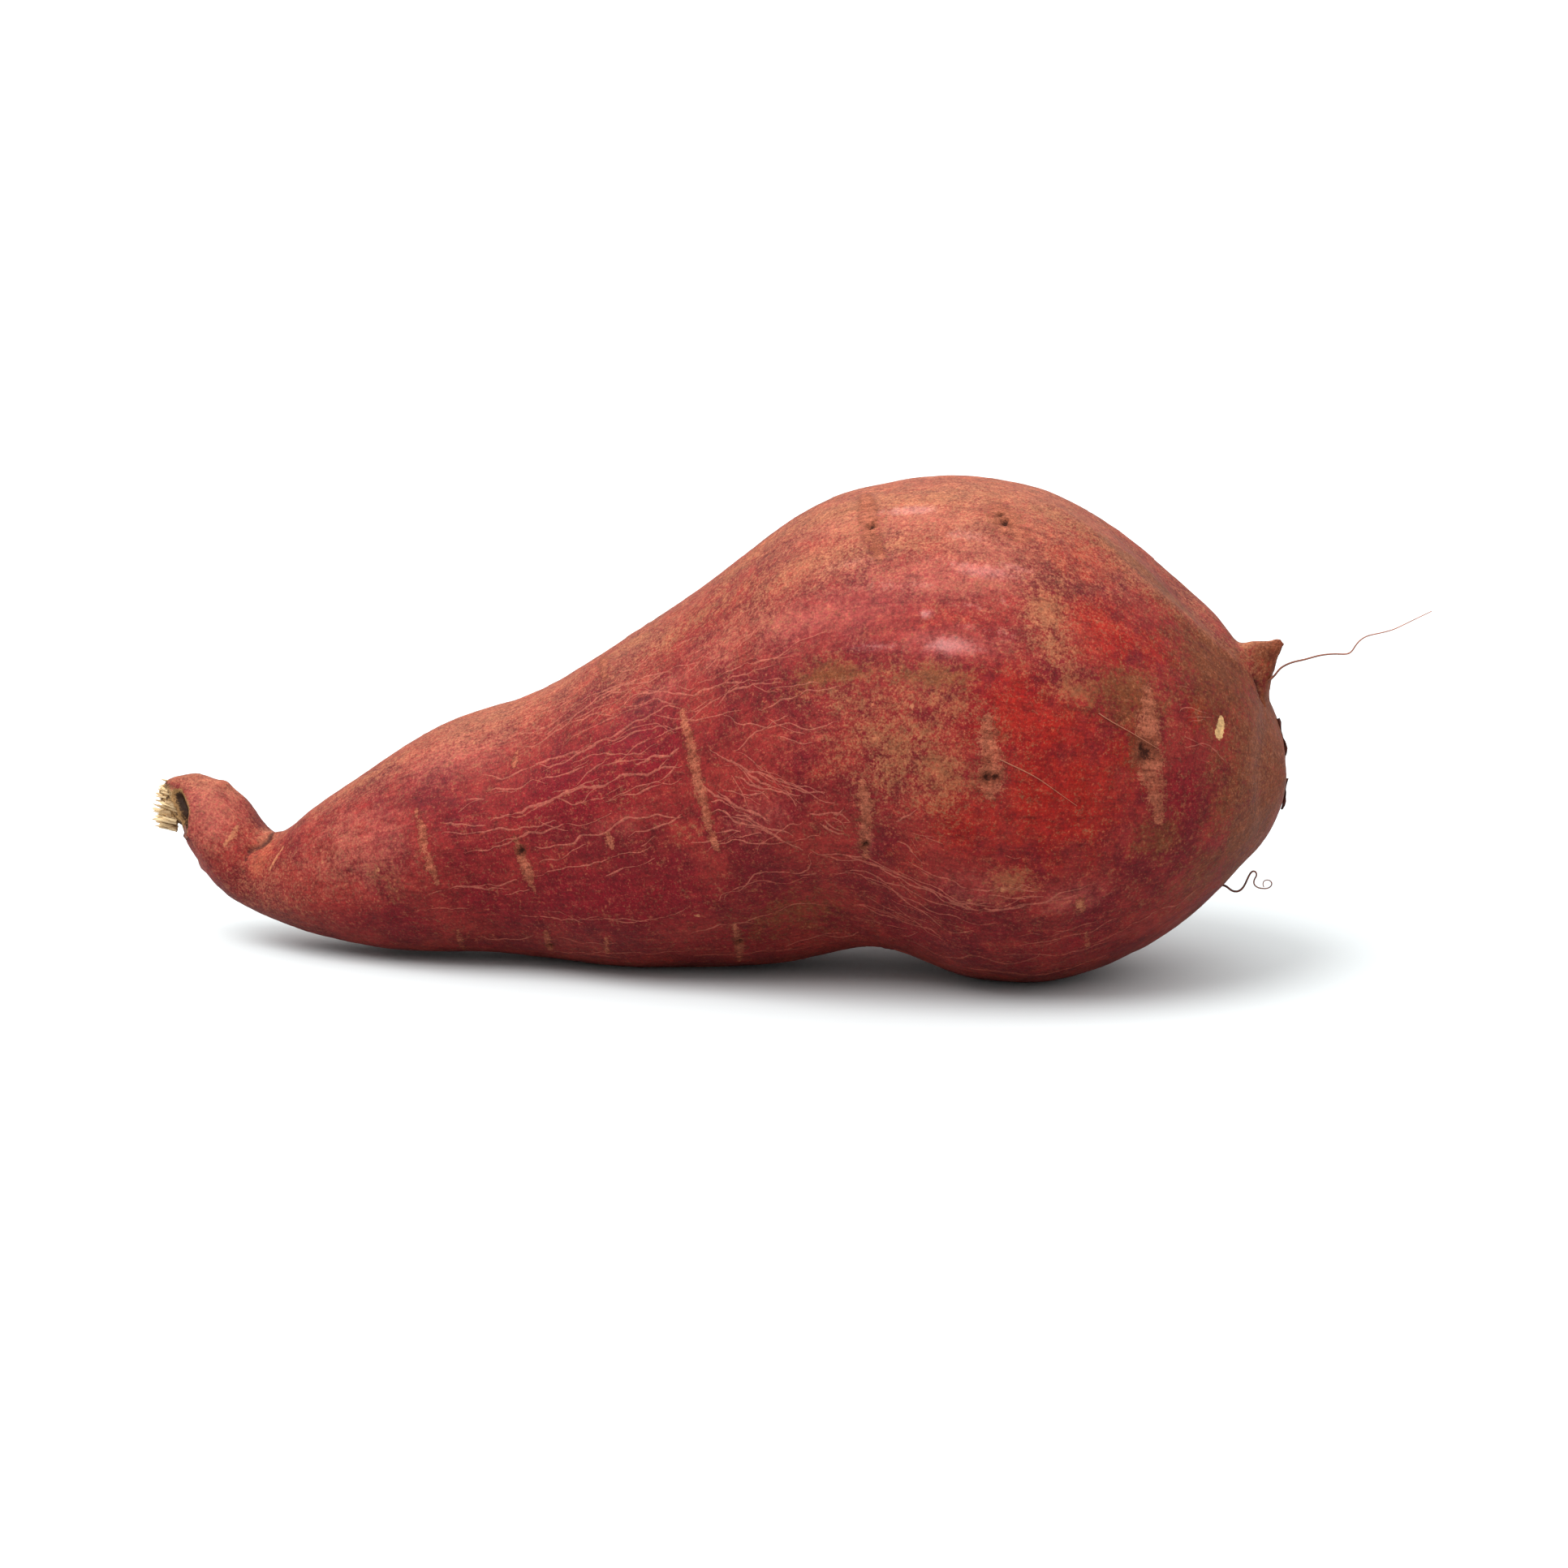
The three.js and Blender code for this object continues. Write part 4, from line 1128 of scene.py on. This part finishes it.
def torn_wood(material):
    """The fibres that stand out of the broken stalk, as thin split strips."""
    rng = random.Random(7)
    shape = bmesh.new()
    tone = shape.verts.layers.float.new("tone")
    out = Vector(FIBRES_OUT).normalized()
    side = out.cross(Vector((0, 0, 1))).normalized()
    up = side.cross(out)
    across, deep, ends = (stray * MM for stray in FIBRE_STRAYS)
    for _ in range(FIBRES):
        angle, share = rng.uniform(0, 2 * math.pi), math.sqrt(rng.random())
        spot = at(*FIBRES_FROM) + side * (FIBRE_FACE[0] * MM * share * math.cos(angle))
        spot += up * (FIBRE_FACE[1] * MM * share * math.sin(angle))
        length = rng.uniform(*FIBRE_LENGTHS) * MM * (1.05 - 0.3 * share)
        wide, thick = rng.uniform(*FIBRE_WIDTHS) * MM, rng.uniform(*FIBRE_THICKNESSES) * MM
        turned = Matrix.Rotation(rng.uniform(-FIBRE_TWIST, FIBRE_TWIST), 4, "Z")
        before = len(shape.verts)
        made = bmesh.ops.create_cube(shape, size=1)["verts"]
        bmesh.ops.scale(shape, verts=made, vec=(wide, thick, length))
        bmesh.ops.translate(shape, verts=made, vec=(0, 0, length / 2))
        edges = {e for v in made for e in v.link_edges}
        long_edges = [e for e in edges if abs(e.verts[0].co.z - e.verts[1].co.z) > length / 2]
        bmesh.ops.subdivide_edges(shape, edges=long_edges, cuts=3)
        shape.verts.ensure_lookup_table()
        made = shape.verts[before:]
        light = rng.uniform(0.3, 1.0)
        for v in made:
            rise = v.co.z / length
            narrow = 1 - FIBRE_NARROWS * rise ** 2
            v.co.x = v.co.x * narrow + rng.uniform(-across, across) * (0.3 + rise)
            v.co.y = v.co.y * narrow + rng.uniform(-deep, deep) * (0.3 + rise)
            v.co.z += rng.uniform(-ends, ends) * (rise > 0.9)
            v[tone] = min(1, max(0, light + 0.25 * (rise - 0.4)))
        lean = out + side * rng.uniform(-FIBRE_LEAN, FIBRE_LEAN)
        lean += up * rng.uniform(-FIBRE_LEAN, FIBRE_LEAN)
        basis = lean.to_track_quat("Z", "Y").to_matrix().to_4x4()
        bmesh.ops.transform(shape, verts=made, matrix=Matrix.Translation(spot) @ basis @ turned)
    bmesh.ops.recalc_face_normals(shape, faces=shape.faces)
    mesh = bpy.data.meshes.new("stalk_fibres")
    shape.to_mesh(mesh)
    shape.free()
    finished(mesh, "stalk_fibres", material)
    mesh.polygons.foreach_set("use_smooth", [False] * len(mesh.polygons))


def flake(skin, name, material, spots, half_width, lift, seed):
    """A curled flake of dry skin that follows a line over the root."""
    rng = random.Random(seed)
    line = [at(*p) for p in skin.line_on(spots, FLAKE_STEP)]
    shape = bmesh.new()
    tone = shape.verts.layers.float.new("tone")
    rows = []
    for i, point in enumerate(line):
        nearest, normal, _, _ = skin.tree.find_nearest(point)
        ahead = (line[min(i + 1, len(line) - 1)] - line[max(i - 1, 0)]).normalized()
        side = ahead.cross(normal).normalized()
        width = half_width * math.sin(math.pi * (i + 0.6) / (len(line) + 0.2))
        width *= rng.uniform(*FLAKE_UNEVEN)
        curl = lift * (0.5 + 0.5 * math.sin(i * 0.9 + seed)) + rng.uniform(0, 0.12) * MM
        row = []
        for share in FLAKE_ACROSS:
            away = normal * (FLAKE_GAP + curl * max(0, share) ** 1.5)
            vert = shape.verts.new(nearest + side * (width * share) + away)
            vert[tone] = rng.uniform(0.0, 0.5)
            row.append(vert)
        rows.append(row)
    for a, b in zip(rows, rows[1:]):
        for i in range(len(FLAKE_ACROSS) - 1):
            shape.faces.new((a[i], a[i + 1], b[i + 1], b[i]))
    bmesh.ops.recalc_face_normals(shape, faces=shape.faces)
    bmesh.ops.solidify(shape, geom=shape.faces[:], thickness=FLAKE_THICKNESS)
    bmesh.ops.recalc_face_normals(shape, faces=shape.faces)
    mesh = bpy.data.meshes.new(name)
    shape.to_mesh(mesh)
    shape.free()
    finished(mesh, name, material)


def vein_path(skin, spots, shift, tilt, seed, start, end):
    """A vein's way over the skin beside some spots: points, with where the skin faces at each."""
    line = skin.line_on(spots, VEIN_STEP)
    line = evened(line, min(VEIN_EVENED, len(line) // 2 * 2 - 1))
    first, last = int(start * len(line)), int(end * len(line))
    line = line[first : max(last, first + VEIN_LEAST_STEPS)]
    path = []
    for i, spot in enumerate(line):
        ahead = Vector(line[min(i + 1, len(line) - 1)] - line[max(i - 1, 0)]).normalized()
        nearest, normal, _, _ = skin.tree.find_nearest(at(*spot))
        wander = tilt * (i / len(line) - 0.5)
        for far, length, kind in VEIN_WANDERS:
            wander += far * noise.noise((i * VEIN_STEP / length, seed, kind))
        nearest += ahead.cross(normal).normalized() * ((shift + wander) * MM)
        nearest, normal, _, _ = skin.tree.find_nearest(nearest)
        path.append((nearest, normal))
    return path


def vein_strip(shape, depth, path, half_width, seed):
    """One raised vein as a low strip that thickens, thins out and breaks off along its way."""
    rows = []
    for i, (point, normal) in enumerate(path):
        ahead = (path[min(i + 1, len(path) - 1)][0] - path[max(i - 1, 0)][0]).normalized()
        side = ahead.cross(normal).normalized()
        swell = VEIN_USUAL
        for size, length, kind in VEIN_SWELLS:
            swell += size * noise.noise((i * VEIN_STEP / length, seed, kind))
        taper = math.sin(math.pi * (i + 0.5) / len(path)) ** 0.4
        width = half_width * MM * max(VEIN_LEAST, min(VEIN_MOST, swell)) * taper
        row = []
        for share, rise in VEIN_PROFILE:
            place = point + side * (width * share) + normal * (rise * MM)
            place.z = max(place.z, 0)
            vert = shape.verts.new(place)
            vert[depth] = (1 - abs(share)) * max(0.1, min(1, 0.5 + swell))
            row.append(vert)
        rows.append(row)
    for a, b in zip(rows, rows[1:]):
        for i in range(len(VEIN_PROFILE) - 1):
            shape.faces.new((a[i], b[i], b[i + 1], a[i + 1]))


def raised_veins(skin, material):
    """The net of pale raised veins. Its marks are those of the skin below it."""
    rng = random.Random(21)
    shape = bmesh.new()
    depth = shape.verts.layers.float.new("vein")
    for number, (spots, half_width, beside) in enumerate(VEINS):
        vein_strip(shape, depth, vein_path(skin, spots, 0, 0, number, 0, 1), half_width, number)
        for k in range(round(BESIDE_COUNT * beside)):
            seed = number + BESIDE_SEEDS * (k + 1)
            start = rng.uniform(*BESIDE_STARTS)
            shift, tilt = rng.gauss(0, VEINS_APART), rng.gauss(0, VEINS_TILT)
            end = start + rng.uniform(*BESIDE_LENGTHS)
            path = vein_path(skin, spots, shift, tilt, seed, start, end)
            vein_strip(shape, depth, path, half_width * rng.uniform(*BESIDE_SHARES), seed)
    for number in range(FINE_VEINS):
        x, turn = rng.uniform(*FINE_VEINS_ALONG), rng.uniform(0, 360)
        if x > FREE_FROM and FREE_TURNS[0] < turn < FREE_TURNS[1]:
            continue
        spots = []
        for k in range(rng.randint(*FINE_VEINS_SPOTS)):
            stray = FINE_VEINS_STRAY * rng.uniform(-1, 1)
            spots.append(("side", x + FINE_VEINS_SPACING * k, turn + stray))
        path = vein_path(skin, spots, 0, rng.gauss(0, VEINS_TILT), FINE_WAY_SEED + number, 0, 1)
        half_width = rng.uniform(*FINE_VEINS_HALF_WIDTH)
        vein_strip(shape, depth, path, half_width, number + FINE_SWELL_SEED)
    mesh = bpy.data.meshes.new("raised_veins")
    shape.to_mesh(mesh)
    shape.free()
    below = kdtree.KDTree(len(skin.co))
    for i, place in enumerate(skin.co):
        below.insert(place, i)
    below.balance()
    nearest = np.array([below.find(v.co)[1] for v in mesh.vertices])
    for name in skin.mesh.attributes.keys():
        source = skin.mesh.attributes[name]
        if source.domain != "POINT" or name in ("position", "vein") or name.startswith("."):
            continue
        field, size = ("vector", 3) if source.data_type == "FLOAT_VECTOR" else ("value", 1)
        values = np.empty(len(skin.co) * size, np.float32)
        source.data.foreach_get(field, values)
        copied = mesh.attributes.new(name, source.data_type, "POINT")
        copied.data.foreach_set(field, values.reshape(-1, size)[nearest].ravel())
    finished(mesh, "raised_veins", material)


def hair_on_skin(skin, name, material, spots, seed):
    """A hair that lies on the skin and lifts off it here and there."""
    rng = random.Random(seed)
    points = []
    for p in skin.line_on(spots, SKIN_HAIR_STEP):
        nearest, normal, _, _ = skin.tree.find_nearest(at(*p))
        points.append(nearest + normal * rng.uniform(*SKIN_HAIR_LIFTS) * MM)
    hair(name, points, SKIN_HAIR_THICKNESS, material, (0.75, 1.0))


# Making of the root.

grain = grain_group()
skin = Skin(skin_blank())
mark_skin(skin)
skin.mesh.name = "skin"
body = finished(skin.mesh, "sweet_potato_skin", skin_finish(grain))
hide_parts("sweet_potato")

wood_finish = plant_finish("torn_wood", paint(128, 88, 52), paint(240, 212, 164), grain, 0.8, 0.75)
hair_finish = plant_finish("hair_root", paint(70, 32, 22), paint(176, 104, 76), grain, 1.2, 0.6)
flake_finish = plant_finish("dry_flake", paint(46, 22, 20), paint(124, 60, 44), grain, 0.9, 0.7)

raised_veins(skin, body.data.materials[0])
torn_wood(wood_finish)
hair("long_hair_root", [at(*p) for p in LONG_HAIR], LONG_HAIR_THICKNESS, hair_finish, (0.25, 0.9))
curled = [at(*p) for p in CURLED_HAIR]
hair("curled_hair_root", curled, CURLED_HAIR_THICKNESS, hair_finish, (0.0, 0.6))
for name, given in SKIN_HAIRS.items():
    hair_on_skin(skin, name, hair_finish, *given)
for name, given in FLAKES.items():
    flake(skin, name, flake_finish, *given)
flake(skin, "stalk_scrap", hair_finish, *STALK_SCRAP)


# The table, the light and the camera.

WALL_LIGHT = 0.34
CEILING_LIGHT = 1.55
OVERHEAD_LIGHT = 2.15
OVERHEAD_SPREAD = 45
OVERHEAD_FROM = (-0.85, -0.62, 1.5)
TABLE_SIZE = 3
TABLE_SEEN = (0.745, 0.785, 0.79, 1)
TABLE_REFLECTED = (0.5, 0.5, 0.5, 1)
SENSOR_WIDTH = 36


def table():
    """A white table that runs out of the view."""
    shape = bmesh.new()
    bmesh.ops.create_grid(shape, x_segments=1, y_segments=1, size=TABLE_SIZE)
    mesh = bpy.data.meshes.new("table")
    shape.to_mesh(mesh)
    shape.free()
    top = bpy.data.objects.new("table", mesh)
    bpy.context.collection.objects.link(top)
    material, finish, shader = new_finish("table_white")
    seen = finish.node("ShaderNodeLightPath").outputs["Is Camera Ray"]
    white = finish.blend(seen, TABLE_REFLECTED, TABLE_SEEN)
    finish.feed(shader.inputs["Base Color"], white)
    shader.inputs["Roughness"].default_value = 1.0
    shader.inputs["Specular IOR Level"].default_value = 0.0
    mesh.materials.append(material)


def studio():
    """A broad soft light from above, a little from the left and the front, in a white room."""
    world = bpy.data.worlds.new("white_room")
    world.use_nodes = True
    room = Finish(world.node_tree)
    ground = world.node_tree.nodes["Background"]
    ground.inputs["Color"].default_value = (1, 1, 1, 1)
    ways = room.node("ShaderNodeTexCoord").outputs["Generated"]
    high = room.node("ShaderNodeSeparateXYZ", {"Vector": ways}).outputs["Z"]
    seen = room.node("ShaderNodeLightPath").outputs["Is Camera Ray"]
    glow = room.step(high, 0.0, 0.9, WALL_LIGHT, CEILING_LIGHT)
    room.feed(ground.inputs["Strength"], room.sum(glow, seen, "MAXIMUM"))
    bpy.context.scene.world = world
    light = bpy.data.lights.new("overhead", "SUN")
    light.angle = math.radians(OVERHEAD_SPREAD)
    light.energy = OVERHEAD_LIGHT
    holder = bpy.data.objects.new("overhead", light)
    holder.rotation_euler = (-Vector(OVERHEAD_FROM)).to_track_quat("-Z", "Y").to_euler()
    bpy.context.collection.objects.link(holder)
    view = bpy.context.scene.view_settings
    view.view_transform = "Standard"
    view.look = "None"


def photo_camera():
    """The camera of the photo."""
    camera = bpy.data.cameras.new("photo_camera")
    camera.sensor_width = SENSOR_WIDTH
    camera.lens = SENSOR_WIDTH * CAMERA_DISTANCE / (PHOTO_PIXELS * PIXEL_SIZE)
    holder = bpy.data.objects.new("photo_camera", camera)
    start, _ = photo_ray(PHOTO_PIXELS / 2, PHOTO_PIXELS / 2)
    holder.location = start
    holder.rotation_euler = (math.pi / 2 - CAMERA_ELEVATION, 0, 0)
    bpy.context.collection.objects.link(holder)
    bpy.context.scene.camera = holder


table()
studio()
photo_camera()
